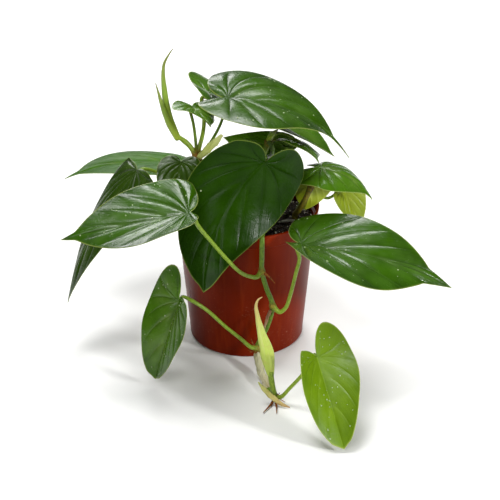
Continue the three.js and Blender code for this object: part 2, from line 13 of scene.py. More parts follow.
import bpy
import numpy as np
from mathutils import Euler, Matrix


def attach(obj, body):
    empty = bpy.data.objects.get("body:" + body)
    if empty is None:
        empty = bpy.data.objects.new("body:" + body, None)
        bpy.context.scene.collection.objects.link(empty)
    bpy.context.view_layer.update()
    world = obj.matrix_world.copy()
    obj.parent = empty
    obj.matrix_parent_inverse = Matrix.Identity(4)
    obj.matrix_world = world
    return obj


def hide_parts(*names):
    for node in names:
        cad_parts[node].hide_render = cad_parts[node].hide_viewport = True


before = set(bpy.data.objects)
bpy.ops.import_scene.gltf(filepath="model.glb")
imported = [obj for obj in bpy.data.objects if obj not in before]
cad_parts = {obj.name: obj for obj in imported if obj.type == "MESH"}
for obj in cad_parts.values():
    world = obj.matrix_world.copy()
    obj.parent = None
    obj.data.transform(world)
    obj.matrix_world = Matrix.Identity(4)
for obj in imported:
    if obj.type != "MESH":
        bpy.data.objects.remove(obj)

LOG = logging.getLogger("philodendron")
MM = 0.001
BODY = "root"

Point = tuple[float, float, float]
Pair = tuple[float, float]
Array = np.ndarray
Socket = bpy.types.NodeSocket
Node = bpy.types.Node
Material = bpy.types.Material
Mesh = bpy.types.Mesh
Color = tuple[float, float, float, float]


def linear(code: str) -> Color:
    """Turns a colour code into linear colour.

    Args:
        code: six hexadecimal digits, two each for red, green and blue.

    Returns:
        The linear red, green and blue, and an alpha of 1.
    """
    parts = [int(code[i : i + 2], 16) / 255 for i in (0, 2, 4)]
    red, green, blue = (p / 12.92 if p <= 0.04045 else ((p + 0.055) / 1.055) ** 2.4 for p in parts)
    return (red, green, blue, 1.0)


def unit(vector: Array) -> Array:
    """Returns the vectors scaled to a length of 1."""
    return vector / np.maximum(np.linalg.norm(vector, axis=-1, keepdims=True), 1e-12)


def reach_of(line: Array) -> Array:
    """Returns how far along a line each of its points is."""
    return np.append(0, np.cumsum(np.linalg.norm(np.diff(line, axis=0), axis=1)))


def bell(distance: Array, width: float) -> Array:
    """Returns 1 where the distance is 0, falling smoothly to 0 past the width."""
    return np.exp(-((distance / width) ** 2))


# Node trees


class NodeTree:
    """A tree of nodes, and what makes and links them."""

    def __init__(self, tree: bpy.types.NodeTree) -> None:
        """Takes the tree that the nodes go into."""
        self.tree = tree

    def node(self, kind: str, **properties: object) -> Node:
        """Adds a node.

        Args:
            kind: its type's name.
            properties: values for the node's own properties.

        Returns:
            The node.
        """
        made = self.tree.nodes.new(kind)
        for key, value in properties.items():
            setattr(made, key, value)
        return made

    def put(self, value: object, socket: Socket) -> None:
        """Links a socket to another one, or sets a plain value on it.

        Args:
            value: the socket that it reads, or the value.
            socket: the socket that takes it.
        """
        if isinstance(value, Socket):
            self.tree.links.new(value, socket)
        else:
            socket.default_value = value

    def join(self, first: Node, output: int | str, second: Node, name: int | str) -> None:
        """Links two nodes.

        Args:
            first: the node that gives a value.
            output: its socket.
            second: the node that takes it.
            name: the socket there.
        """
        self.put(first.outputs[output], second.inputs[name])

    def count(self, operation: str, first: Socket | float, second: Socket | float) -> Socket:
        """Works out a value from two others.

        Args:
            operation: what is done with them, such as MULTIPLY.
            first: the first value.
            second: the second value.

        Returns:
            The result.
        """
        made = self.node("ShaderNodeMath", operation=operation)
        self.put(first, made.inputs[0])
        self.put(second, made.inputs[1])
        return made.outputs[0]

    def times(self, first: Socket | float, second: Socket | float) -> Socket:
        """Returns the product of two values."""
        return self.count("MULTIPLY", first, second)

    def plus(self, first: Socket | float, second: Socket | float) -> Socket:
        """Returns the sum of two values."""
        return self.count("ADD", first, second)


# Materials


class Finish(NodeTree):
    """A procedural material, built node by node round one shader."""

    # A colour mix node's sockets for its share, its two colours and the result
    MIX_INPUTS = (0, 6, 7)
    MIX_RESULT = 2

    def __init__(self, name: str, roughness: float = 0.5, **constants: float) -> None:
        """Makes the material.

        Args:
            name: the material's name.
            roughness: the roughness where nothing is linked to it.
            constants: values for the shader's own sockets, with _ for each space in their names.
        """
        self.material = bpy.data.materials.new(name)
        self.material.use_nodes = True
        super().__init__(self.material.node_tree)
        self.shader = self.tree.nodes["Principled BSDF"]
        self.shader.inputs["Roughness"].default_value = roughness
        for key, value in constants.items():
            self.shader.inputs[key.replace("_", " ")].default_value = value

    def stretched(self, where: Socket, stretch: Point) -> Socket:
        """Stretches coordinates.

        Args:
            where: the coordinates.
            stretch: how much along each axis.

        Returns:
            The stretched coordinates.
        """
        mapping = self.node("ShaderNodeMapping")
        self.put(where, mapping.inputs["Vector"])
        self.put(stretch, mapping.inputs["Scale"])
        return mapping.outputs["Vector"]

    def place(self, stretch: Point = (1, 1, 1)) -> Socket:
        """Returns the place on the object, stretched along each axis."""
        return self.stretched(self.node("ShaderNodeTexCoord").outputs["Object"], stretch)

    def flow(self, stretch: Point) -> Socket:
        """Returns the surface's own coordinates, stretched along each."""
        return self.stretched(self.node("ShaderNodeUVMap", uv_map="flow").outputs["UV"], stretch)

    def noise(self, where: Socket, scale: float, detail: float = 3.0) -> Socket:
        """Adds smooth noise.

        Args:
            where: the coordinates that it is drawn on.
            scale: how fine it is.
            detail: how many finer layers it has.

        Returns:
            The noise, from 0 to 1.
        """
        made = self.node("ShaderNodeTexNoise")
        self.put(where, made.inputs["Vector"])
        self.put(scale, made.inputs["Scale"])
        self.put(detail, made.inputs["Detail"])
        return made.outputs["Fac"]

    def cells(self, where: Socket, scale: float) -> Socket:
        """Adds a pattern of small cells.

        Args:
            where: the coordinates that it is drawn on.
            scale: how fine it is.

        Returns:
            The distance from the middle of the nearest cell.
        """
        made = self.node("ShaderNodeTexVoronoi")
        self.put(where, made.inputs["Vector"])
        self.put(scale, made.inputs["Scale"])
        return made.outputs["Distance"]

    def attribute(self, name: str) -> Socket:
        """Returns a value that the mesh holds."""
        return self.node("ShaderNodeAttribute", attribute_name=name).outputs["Fac"]

    def spread(self, value: Socket, low: float, high: float, to: Pair = (0, 1)) -> Socket:
        """Maps a value to another range, and clamps it.

        Args:
            value: the value.
            low: what becomes the new range's start.
            high: what becomes its end.
            to: the new range.

        Returns:
            The new value.
        """
        made = self.node("ShaderNodeMapRange")
        for socket, setting in zip(made.inputs, (value, low, high, *to)):
            self.put(setting, socket)
        return made.outputs["Result"]

    def mix(self, share: Socket | float, first: Socket | str, second: Socket | str) -> Socket:
        """Blends one colour into another.

        Args:
            share: how much of the second colour shows, from 0 to 1.
            first: the first colour, or its code.
            second: the second colour, or its code.

        Returns:
            The blend.
        """
        made = self.node("ShaderNodeMix", data_type="RGBA")
        for number, setting in zip(self.MIX_INPUTS, (share, first, second)):
            self.put(linear(setting) if isinstance(setting, str) else setting, made.inputs[number])
        return made.outputs[self.MIX_RESULT]

    def color(self, value: Socket) -> None:
        """Links the surface's colour."""
        self.put(value, self.shader.inputs["Base Color"])

    def rough(self, value: Socket) -> None:
        """Links the surface's roughness."""
        self.put(value, self.shader.inputs["Roughness"])

    def bump(self, height: Socket, distance: float, strength: float = 1.0) -> None:
        """Adds low relief to the surface.

        Args:
            height: the relief, from 0 to 1.
            distance: its full height in millimetres.
            strength: how much of it shows.
        """
        made = self.node("ShaderNodeBump")
        made.inputs["Strength"].default_value = strength
        made.inputs["Distance"].default_value = distance * MM
        self.put(height, made.inputs["Height"])
        socket = self.shader.inputs["Normal"]
        if socket.is_linked:
            self.put(socket.links[0].from_socket, made.inputs["Normal"])
        self.put(made.outputs["Normal"], socket)


@dataclass(frozen=True)
class LeafFinish:
    """A leaf's colours and gloss.

    vein_share is how much of the veins' colour shows in them, and painted_sheen how much of it is painted
    between them as a painted highlight on the panel tops.
    """

    dark: str
    light: str
    vein: str
    rim: str
    under: str
    roughness: float
    shine: float
    vein_share: float
    painted_sheen: float

    # How fine its patterns are
    MOTTLE: ClassVar[float] = 55
    PAINTED_SHEEN_PATCHES: ClassVar[float] = 38
    STREAKS: ClassVar[Point] = (90, 2.2, 1)
    GLOSS_PATCHES: ClassVar[float] = 160
    PITS: ClassVar[float] = 620
    DENTS: ClassVar[float] = 190

    def material(self, name: str) -> Material:
        """Makes a glossy leaf with fine parallel side veins, a hammered surface, a pale rim and a painted
        highlight on the panels between the veins.

        Args:
            name: the material's name.

        Returns:
            The material.
        """
        leaf = Finish(name, Specular_IOR_Level=self.shine)
        here = leaf.place()
        crest, vein, rim = (leaf.attribute(value) for value in ("crest", "vein", "rim"))
        mottle = leaf.spread(leaf.noise(here, self.MOTTLE), 0.35, 0.65)
        streaks = leaf.noise(leaf.flow(self.STREAKS), 1.0, 2)
        face = leaf.mix(leaf.times(leaf.plus(mottle, streaks), 0.5), self.dark, self.light)
        # Painted highlight: the panel tops between the side veins are painted towards the light colour, and
        # then in patches towards the veins' paler colour
        face = leaf.mix(leaf.times(crest, 0.6), face, self.light)
        painted_sheen = leaf.times(crest, leaf.spread(leaf.noise(here, self.PAINTED_SHEEN_PATCHES, 2), 0.4, 0.7))
        face = leaf.mix(leaf.times(painted_sheen, self.painted_sheen), face, self.vein)
        face = leaf.mix(leaf.times(vein, self.vein_share), face, self.vein)
        back = leaf.mix(leaf.times(vein, 0.5), self.under, self.vein)
        face = leaf.mix(leaf.attribute("under"), face, back)
        leaf.color(leaf.mix(leaf.times(rim, 0.5), face, self.rim))
        dull, limits = leaf.noise(here, self.GLOSS_PATCHES), (self.roughness - 0.07, self.roughness + 0.09)
        leaf.rough(leaf.spread(dull, 0.3, 0.7, limits))
        leaf.bump(streaks, 0.35, 0.3)
        leaf.bump(leaf.cells(here, self.PITS), 0.12, 0.35)
        leaf.bump(leaf.noise(here, self.DENTS, 2), 0.5, 0.3)
        return leaf.material


class LeafTone(Enum):
    """The leaves' finishes, from the darkest, whose darkness is painted shade, to the palest young one."""

    # Painted shade: DEEP_SHADE and SHADED are darker copies of the mature greens for leaves that lie in shade
    DEEP_SHADE = LeafFinish("0c2200", "1b3800", "3f6a10", "84953e", "3f5410", 0.27, 0.07, 0.1, 0.1)
    SHADED = LeafFinish("122300", "274001", "5d7834", "95a250", "465b12", 0.24, 0.2, 0.2, 0.2)
    MATT = LeafFinish("1c3a00", "34600a", "6f8a30", "9dab50", "4e6412", 0.34, 0.05, 0.3, 0.1)
    MATURE = LeafFinish("122800", "305502", "7d9a58", "a3ad5c", "4e6414", 0.2, 0.3, 0.2, 0.15)
    SATIN = LeafFinish("102500", "2f5200", "7d9a58", "a3ad5c", "4e6414", 0.24, 0.26, 0.2, 0.15)
    FRESH = LeafFinish("1b3800", "426c04", "93aa55", "a9b362", "5a7018", 0.22, 0.27, 0.25, 0.15)
    YOUNG = LeafFinish("476601", "658305", "8fa82e", "b4be5e", "76881e", 0.36, 0.3, 0.25, 0.05)
    YELLOW = LeafFinish("5a6c06", "869716", "b0ba48", "b8bd5a", "8a9818", 0.38, 0.3, 0.35, 0.1)


@dataclass(frozen=True)
class PotPlastic:
    """Thin glossy red-brown plastic with faint flow marks and fine scuffs."""

    dark: str = "541000"
    light: str = "761e00"
    streak: str = "9a3a0c"
    dust: str = "b07a60"
    shine: float = 0.06
    clouds: float = 22
    flow_marks: float = 260
    scuffs: float = 420
    dust_patches: float = 35

    def material(self) -> Material:
        """Makes the plastic.

        Returns:
            The material.
        """
        pot = Finish("pot_plastic", Specular_IOR_Level=self.shine)
        cloud = pot.noise(pot.place((1, 1, 0.35)), self.clouds, 4)
        streaks = pot.noise(pot.place((1, 1, 0.03)), self.flow_marks, 3)
        base = pot.mix(pot.spread(cloud, 0.3, 0.7), self.dark, self.light)
        base = pot.mix(pot.times(pot.spread(streaks, 0.5, 0.75), 0.2), base, self.streak)
        scuffs = pot.spread(pot.noise(pot.place((1, 1, 4)), self.scuffs, 5), 0.62, 0.7)
        dust = pot.times(scuffs, pot.spread(pot.noise(pot.place(), self.dust_patches), 0.5, 0.7))
        pot.color(pot.mix(pot.times(dust, 0.5), base, self.dust))
        pot.rough(pot.spread(pot.plus(cloud, dust), 0.3, 1.2, (0.26, 0.5)))
        pot.bump(cloud, 0.6, 0.25)
        pot.bump(streaks, 0.08, 0.4)
        return pot.material


@dataclass(frozen=True)
class PottingSoil:
    """Dark crumbly peat with lighter fibres."""

    dark: str = "120b07"
    light: str = "3d2a1c"
    fibre: str = "6b4a30"
    grains: float = 420
    fibres: float = 900

    def material(self) -> Material:
        """Makes the peat.

        Returns:
            The material.
        """
        soil = Finish("potting_soil", 0.95)
        grain = soil.noise(soil.place(), self.grains, 5)
        base = soil.mix(soil.spread(grain, 0.35, 0.7), self.dark, self.light)
        fibres = soil.spread(soil.noise(soil.place((1, 0.2, 1)), self.fibres, 2), 0.66, 0.74)
        soil.color(soil.mix(soil.times(fibres, 0.6), base, self.fibre))
        soil.bump(grain, 1.2, 0.8)
        return soil.material


@dataclass(frozen=True)
class Perlite:
    """Chalky white perlite, stained a little by the soil."""

    clean: str = "e9e4da"
    stained: str = "a3927a"
    stains: float = 500
    pores: float = 2200

    def material(self) -> Material:
        """Makes the perlite.

        Returns:
            The material.
        """
        perlite = Finish("perlite", 0.9)
        stain = perlite.spread(perlite.noise(perlite.place(), self.stains, 3), 0.45, 0.75)
        perlite.color(perlite.mix(stain, self.clean, self.stained))
        perlite.bump(perlite.cells(perlite.place(), self.pores), 0.3, 0.6)
        return perlite.material


@dataclass(frozen=True)
class StemSkin:
    """Green stems with lengthwise streaks, that turn brown at the nodes and on the roots."""

    old: tuple[str, str] = ("38540c", "5c7f16")
    young: tuple[str, str] = ("708c1c", "9fb53c")
    bark: tuple[str, str] = ("4a2408", "96561a")
    shine: float = 0.3
    streaks: Point = (7, 14, 1)
    spots: float = 700

    def material(self) -> Material:
        """Makes the skin.

        Returns:
            The material.
        """
        stem = Finish("plant_stem", Specular_IOR_Level=self.shine)
        streaks = stem.noise(stem.flow(self.streaks), 1.0, 3)
        spots = stem.noise(stem.place(), self.spots, 3)
        old, young = (
            stem.mix(stem.spread(streaks, 0.35, 0.7), dark, light)
            for dark, light in (self.old, self.young)
        )
        green = stem.mix(stem.attribute("tone"), old, young)
        bark = stem.mix(stem.spread(spots, 0.35, 0.65), self.bark[0], self.bark[1])
        stem.color(stem.mix(stem.attribute("brown"), green, bark))
        stem.rough(stem.spread(stem.plus(stem.attribute("brown"), spots), 0.3, 1.4, (0.34, 0.85)))
        stem.bump(streaks, 0.25, 0.6)
        stem.bump(spots, 0.12, 0.4)
        return stem.material


@dataclass(frozen=True)
class ScaleFinish:
    """A bud scale's or sheath's colours from its foot to its tip, with fine ribs along it."""

    foot: str
    middle: str
    tip: str
    rib: str
    roughness: float
    coat: float = 0.0
    ribs: float = 10.0

    # How fine its patterns are
    BLOTCHES: ClassVar[float] = 240
    GRAIN: ClassVar[float] = 900

    def material(self, name: str) -> Material:
        """Makes the ribbed material, which runs through its three colours along the piece.

        Args:
            name: the material's name.

        Returns:
            The material.
        """
        scale = Finish(name, self.roughness, Coat_Weight=self.coat)
        along = scale.attribute("along")
        body = scale.mix(scale.spread(along, 0.0, 0.55), self.foot, self.middle)
        body = scale.mix(scale.spread(along, 0.55, 1.0), body, self.tip)
        ribs = scale.noise(scale.flow((1.5, self.ribs, 1)), 1.0, 3)
        blotch = scale.spread(scale.noise(scale.place(), self.BLOTCHES, 3), 0.5, 0.75)
        body = scale.mix(scale.times(scale.spread(ribs, 0.45, 0.7), 0.55), body, self.rib)
        scale.color(scale.mix(scale.times(blotch, 0.3), body, self.tip))
        scale.bump(ribs, 0.5, 0.7)
        scale.bump(scale.noise(scale.place(), self.GRAIN, 2), 0.15, 0.4)
        return scale.material


class ScaleTone(Enum):
    """The finishes of bud scales and sheaths."""

    CROWN_BUD = ScaleFinish("8fa322", "78991e", "77763a", "aec24e", 0.42, 0.1)
    TRAIL_BUD = ScaleFinish("a5bb3c", "b4c454", "ab8250", "d6dc8c", 0.42, 0.1, 12)
    TIP = ScaleFinish("9aa840", "c2b565", "a07248", "ded498", 0.5)
    FUZZY = ScaleFinish("9ca63e", "b2bc60", "c6ca84", "d8dba0", 0.75)
    PAPERY = ScaleFinish("8d8a62", "b9b592", "9c8e68", "dcd8bc", 0.7, 0.0, 9)
    DRIED = ScaleFinish("6d4a2c", "8d6c48", "b79a74", "4a3220", 0.8)
    WEATHERED = ScaleFinish("8e8a80", "a9a69c", "77726a", "5f5a52", 0.85)


@dataclass(frozen=True)
class Water:
    """The water of small drops, whose pale colour in random clouds is a painted highlight."""

    green: str = "b4cc88"
    pale: str = "dcecc0"
    clear: float = 0.5
    bending: float = 1.33
    clouds: float = 90

    def material(self) -> Material:
        """Makes the water.

        Returns:
            The material.
        """
        water = Finish("water", 0.05, Transmission_Weight=self.clear, IOR=self.bending)
        cloud = water.noise(water.place(), self.clouds)
        # Painted highlight: the drops' pale base colour stands in for the light that they catch
        water.color(water.mix(cloud, self.green, self.pale))
        return water.material


@dataclass(frozen=True)
class PaleFloor:
    """The plain pale floor's faintly uneven paint."""

    dark: str = "eeeeec"
    light: str = "f2f2f1"

    def material(self) -> Material:
        """Makes the paint.

        Returns:
            The material.
        """
        pale = Finish("pale_floor", 0.6)
        pale.color(pale.mix(pale.noise(pale.place(), 3), self.dark, self.light))
        return pale.material


# Meshes


def build_mesh(name: str, points: Array, faces: Iterable[Sequence[int]], smooth: bool = True) -> Mesh:
    """Makes a mesh from points in millimetres.

    Args:
        name: the mesh's name.
        points: its vertices.
        faces: the vertex numbers of each face.
        smooth: whether its faces are shaded smooth.

    Returns:
        The mesh, in metres.
    """
    mesh = bpy.data.meshes.new(name)
    mesh.from_pydata((np.asarray(points) * MM).tolist(), [], [list(face) for face in faces])
    mesh.polygons.foreach_set("use_smooth", [smooth] * len(mesh.polygons))
    mesh.update()
    return mesh


def put_values(mesh: Mesh, **values: Array) -> None:
    """Stores values on a mesh.

    Args:
        mesh: the mesh.
        values: one number for each vertex, under each name.
    """
    for name, numbers in values.items():
        layer = mesh.attributes.new(name, "FLOAT", "POINT")
        layer.data.foreach_set("value", np.asarray(numbers, np.float32))


def put_flow(mesh: Mesh, coordinates: Array) -> None:
    """Stores the surface's own coordinates on a mesh, as the UV map named flow.

    Args:
        mesh: the mesh.
        coordinates: two numbers for each vertex.
    """
    corners = np.zeros(len(mesh.loops), np.int32)
    mesh.loops.foreach_get("vertex_index", corners)
    layer = mesh.uv_layers.new(name="flow")
    layer.data.foreach_set("uv", np.asarray(coordinates, np.float32)[corners].ravel())


def vertex_normals(points: Array, faces: Array) -> Array:
    """Works out the normals of a mesh of four-cornered faces.

    Args:
        points: its vertices.
        faces: the vertex numbers of each face, of which one may come twice.

    Returns:
        The normal at each vertex.
    """
    a, b, c, d = (points[faces[:, k]] for k in range(4))
    flat = np.cross(c - a, d - b)
    normals = np.zeros_like(points)
    for k in range(4):
        np.add.at(normals, faces[:, k], flat)
    return unit(normals)


def plain(corners: Iterable[int]) -> list[int]:
    """Returns the corners of a face without any that comes twice."""
    return list(dict.fromkeys(int(corner) for corner in corners))


def column(k: int, sides: int, starts: Sequence[int]) -> list[list[int]]:
    """Joins rings of vertices at one step round an axis.

    Args:
        k: the step.
        sides: how many vertices a ring has.
        starts: each ring's first vertex.

    Returns:
        The faces between the rings.
    """
    on = (k + 1) % sides
    return [[low + k, low + on, high + on, high + k] for low, high in zip(starts, starts[1:])]


def lathe(profile: Sequence[Pair], segments: int) -> tuple[Array, list[list[int]]]:
    """Turns a profile that starts and ends on the axis.

    Args:
        profile: radius and height of each point.
        segments: how many flat faces go round.

    Returns:
        The points and the faces of the closed form.
    """
    turn = np.arange(segments) * math.tau / segments
    points = [(0.0, 0.0, profile[0][1])]
    for radius, height in profile[1:-1]:
        points += [(radius * math.cos(a), radius * math.sin(a), height) for a in turn]
    points.append((0.0, 0.0, profile[-1][1]))
    last = len(points) - 1
    starts = range(1, last, segments)
    faces = []
    for k in range(segments):
        following = (k + 1) % segments
        faces.append([0, 1 + following, 1 + k])
        faces += column(k, segments, starts)
        faces.append([starts[-1] + k, starts[-1] + following, last])
    return np.array(points), faces


def cubic(start: Array, end: Array, leave: Array, arrive: Array, t: Array) -> Array:
    """Works out a smooth piece of a line.

    Args:
        start: where it starts.
        end: where it ends.
        leave: its slope at the start.
        arrive: its slope at the end.
        t: shares of the way along it, one in each row.

    Returns:
        The point at each share.
    """
    return (
        start
        + leave * t
        + (3 * (end - start) - 2 * leave - arrive) * t**2
        + (2 * (start - end) + leave + arrive) * t**3
    )


def add_object(name: str, data: bpy.types.ID) -> bpy.types.Object:
    """Adds an object to the scene.

    Args:
        name: its name.
        data: its mesh, light or camera.

    Returns:
        The object.
    """
    made = bpy.data.objects.new(name, data)
    bpy.context.scene.collection.objects.link(made)
    return made


class Piece:
    """Turns meshes into finished pieces of the plant."""

    @staticmethod
    def finish(
        name: str,
        mesh: Mesh,
        material: Material | None,
        nodes: Sequence[str] = (),
        slot: str | None = None,
    ) -> bpy.types.Object:
        """Makes an object from a mesh, and lets it ride on the body.

        Args:
            name: the piece's name.
            mesh: its mesh, in place.
            material: its material, or none if the mesh has one.
            nodes: the plain nodes that it stands for.
            slot: the record's material slot; it is not used.

        Returns:
            The finished object.
        """
        if material is not None:
            mesh.materials.clear()
            mesh.materials.append(material)
        made = add_object(name, mesh)
        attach(made, BODY)
        if nodes:
            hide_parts(*nodes)
        LOG.info("%s: %d faces", name, len(mesh.polygons))
        return made


# Trees of geometry nodes


class Tree(NodeTree):
    """A tree of geometry nodes with named inputs."""

    def __init__(self, name: str, **inputs: str) -> None:
        """Starts a tree with one geometry in and one out.

        Args:
            name: the tree's name.
            inputs: the kind of each named input, such as Float, Int, Object or Material.
        """
        super().__init__(bpy.data.node_groups.new(name, "GeometryNodeTree"))
        self.keys: dict[str, str] = {}
        for way in ("INPUT", "OUTPUT"):
            self.tree.interface.new_socket("Geometry", in_out=way, socket_type="NodeSocketGeometry")
        for key, kind in inputs.items():
            made = self.tree.interface.new_socket(key, in_out="INPUT", socket_type="NodeSocket" + kind)
            self.keys[key] = made.identifier
        self.start = self.node("NodeGroupInput")

    def named(self, name: str) -> Socket:
        """Reads numbers that the mesh holds.

        Args:
            name: the name that they have there.

        Returns:
            The number at each point.
        """
        made = self.node("GeometryNodeInputNamedAttribute", data_type="FLOAT")
        self.put(name, made.inputs["Name"])
        return made.outputs["Attribute"]

    def close(self, result: Socket) -> None:
        """Ends the tree: the result is shaded smooth, its instances are made real, and it gets the material.

        Args:
            result: the geometry.
        """
        smooth = self.node("GeometryNodeSetShadeSmooth")
        real = self.node("GeometryNodeRealizeInstances")
        dress = self.node("GeometryNodeSetMaterial")
        end = self.node("NodeGroupOutput")
        self.put(result, smooth.inputs["Geometry"])
        for first, second in ((smooth, real), (real, dress), (dress, end)):
            self.join(first, "Geometry", second, "Geometry")
        self.join(self.start, "Material", dress, "Material")

    def run(self, mesh: Mesh, **values: object) -> Mesh:
        """Runs the tree on a mesh.

        Args:
            mesh: what the tree starts from. It is removed.
            values: a value for each named input.

        Returns:
            The resulting plain mesh.
        """
        carrier = add_object("carrier", mesh)
        modifier = carrier.modifiers.new("nodes", "NODES")
        modifier.node_group = self.tree
        for name, value in values.items():
            modifier[self.keys[name]] = value
        evaluated = carrier.evaluated_get(bpy.context.evaluated_depsgraph_get())
        result = bpy.data.meshes.new_from_object(evaluated)
        carrier.modifiers.remove(modifier)
        bpy.data.objects.remove(carrier)
        bpy.data.meshes.remove(mesh)
        return result


class SweepTree(Tree):
    """Sweeps a round section along lines, as thick as their thickness attribute says."""

    # How narrow the channel is: the power of the height that it is pressed in by
    SHARPNESS = 6.0

    def __init__(self) -> None:
        """Builds the tree, with the inputs Sides, Groove and Material."""
        super().__init__("sweep", Sides="Int", Groove="Float", Material="Material")
        curve = self.node("GeometryNodeMeshToCurve")
        self.join(self.start, "Geometry", curve, "Mesh")
        section = self.node("GeometryNodeCurvePrimitiveCircle", mode="RADIUS")
        section.inputs["Radius"].default_value = 1.0
        self.join(self.start, "Sides", section, "Resolution")
        grooved = self.groove(section.outputs["Curve"])
        sweep = self.node("GeometryNodeCurveToMesh")
        sweep.inputs["Fill Caps"].default_value = True
        self.join(curve, "Curve", sweep, "Curve")
        self.put(grooved, sweep.inputs["Profile Curve"])
        self.put(self.named("thickness"), sweep.inputs["Scale"])
        self.close(sweep.outputs["Mesh"])

    def groove(self, section: Socket) -> Socket:
        """Presses a shallow channel into one side of the section, and stores how far round each point is.

        Args:
            section: the round section.

        Returns:
            The grooved section.
        """
        place = self.node("GeometryNodeInputPosition")
        parts = self.node("ShaderNodeSeparateXYZ")
        self.join(place, "Position", parts, "Vector")
        near = self.count("POWER", self.count("MAXIMUM", parts.outputs["Y"], 0.0), self.SHARPNESS)
        shift = self.node("ShaderNodeCombineXYZ")
        self.put(self.times(self.times(near, self.start.outputs["Groove"]), -1.0), shift.inputs["Y"])
        move = self.node("GeometryNodeSetPosition")
        self.put(section, move.inputs["Geometry"])
        self.join(shift, "Vector", move, "Offset")
        share = self.node("GeometryNodeSplineParameter")
        store = self.node("GeometryNodeStoreNamedAttribute", data_type="FLOAT", domain="POINT")
        self.put("around", store.inputs["Name"])
        self.join(move, "Geometry", store, "Geometry")
        self.join(share, "Factor", store, "Value")
        return store.outputs["Geometry"]


class ScatterTree(Tree):
    """Scatters copies of a small shape over a surface, more thickly where its cover attribute is high."""

    # A random number node's sockets for the least and the largest number
    LEAST, MOST = 2, 3
    # How far the copies lean, in radians
    LEAN = 0.15

    def __init__(self) -> None:
        """Builds the tree, with the inputs Shape, Density, Smallest, Largest, Seed and Material."""
        numbers = {"Density": "Float", "Smallest": "Float", "Largest": "Float", "Seed": "Int"}
        super().__init__("scatter", Shape="Object", **numbers, Material="Material")
        density = self.times(self.named("cover"), self.start.outputs["Density"])
        points = self.node("GeometryNodeDistributePointsOnFaces", distribute_method="RANDOM")
        self.join(self.start, "Geometry", points, "Mesh")
        self.put(density, points.inputs["Density"])
        self.join(self.start, "Seed", points, "Seed")
        shape = self.node("GeometryNodeObjectInfo")
        self.join(self.start, "Shape", shape, "Object")
        size = self.node("FunctionNodeRandomValue", data_type="FLOAT")
        self.join(self.start, "Smallest", size, self.LEAST)
        self.join(self.start, "Largest", size, self.MOST)
        self.join(self.start, "Seed", size, "Seed")
        copies = self.node("GeometryNodeInstanceOnPoints")
        self.join(points, "Points", copies, "Points")
        self.join(points, "Rotation", copies, "Rotation")
        self.join(shape, "Geometry", copies, "Instance")
        self.join(size, 1, copies, "Scale")
        spin = self.node("FunctionNodeRandomValue", data_type="FLOAT_VECTOR")
        spin.inputs[0].default_value = (-self.LEAN, -self.LEAN, 0)
        spin.inputs[1].default_value = (self.LEAN, self.LEAN, math.tau)
        turned = self.node("GeometryNodeRotateInstances")
        self.join(copies, "Instances", turned, "Instances")
        self.join(spin, 0, turned, "Rotation")
        self.close(turned.outputs["Instances"])


@dataclass(frozen=True)
class Bits:
    """Small copies of a rounded shape, to be scattered over a surface.

    density is how many lie on a square metre where they are thickest, and sizes are the radii of the smallest
    and the largest, in millimetres. What would be lower than floor is pressed flat.
    """

    around: int
    rings: int
    stretch: Point
    density: float
    sizes: Pair
    seed: int
    floor: float = -1.0

    def shape(self) -> bpy.types.Object:
        """Makes the shape that is copied.

        Returns:
            The object, which the caller removes.
        """
        tilts = [math.pi * ring / (self.rings + 1) for ring in range(1, self.rings + 1)]
        profile = [(0, -1), *((math.sin(tilt), -math.cos(tilt)) for tilt in tilts), (0, 1)]
        points, faces = lathe(profile, self.around)
        points = points * self.stretch
        points[:, 2] = np.maximum(points[:, 2], self.floor)
        return add_object("bit", build_mesh("bit", points, faces))

    def over(self, ground: Mesh, material: Material) -> Mesh:
        """Scatters the copies.

        Args:
            ground: the surface, with its cover. It is removed.
            material: the copies' material.

        Returns:
            All the copies as one mesh.
        """
        shape = self.shape()
        made = ScatterTree().run(
            ground, Shape=shape, Density=self.density, Smallest=self.sizes[0], Largest=self.sizes[1],
            Seed=self.seed, Material=material,
        )
        bpy.data.objects.remove(shape)
        return made


# Leaves


@dataclass(frozen=True)
class Detail:
    """How finely a blade is divided: rows between two side veins, and steps from the midrib to the rim."""

    rows: int
    steps: int


class Grain(Enum):
    """How fine a leaf's mesh is, by its size in the view."""

    LARGE = Detail(18, 26)
    MEDIUM = Detail(14, 20)
    SMALL = Detail(10, 14)


@dataclass(frozen=True)
class LeafShape:
    """One leaf's place, form and finish. A pair is for the half on the face's left and for the other half.

    base and tip are the midrib's ends, face is where the upper side faces, and width is from rim to rim.
    lobes reach behind the base, in lengths. arch, fold, rear and twist are in degrees: how far the midrib
    bends, how far halves and lobes are turned up, and how far the blade turns. camber bends the halves down,
    sides scales them and sway shifts the middle sideways. blunt, full and taper change the outline. quilt is
    how high the panels between the veins stand, and wet how thick the drops lie.
    """

    base: Point
    tip: Point
    face: Point
    width: float
    lobes: Pair = (0.2, 0.2)
    arch: float = 20
    fold: Pair = (8, 8)
    camber: float = 0
    sides: Pair = (1, 1)
    rear: float = 0
    twist: float = 0
    sway: float = 0
    blunt: float = 0
    full: Pair = (0, 0)
    taper: float = 0.8
    tone: LeafTone = LeafTone.MATURE
    grain: Grain = Grain.SMALL
    quilt: float = 1.0
    wet: float = 0.0


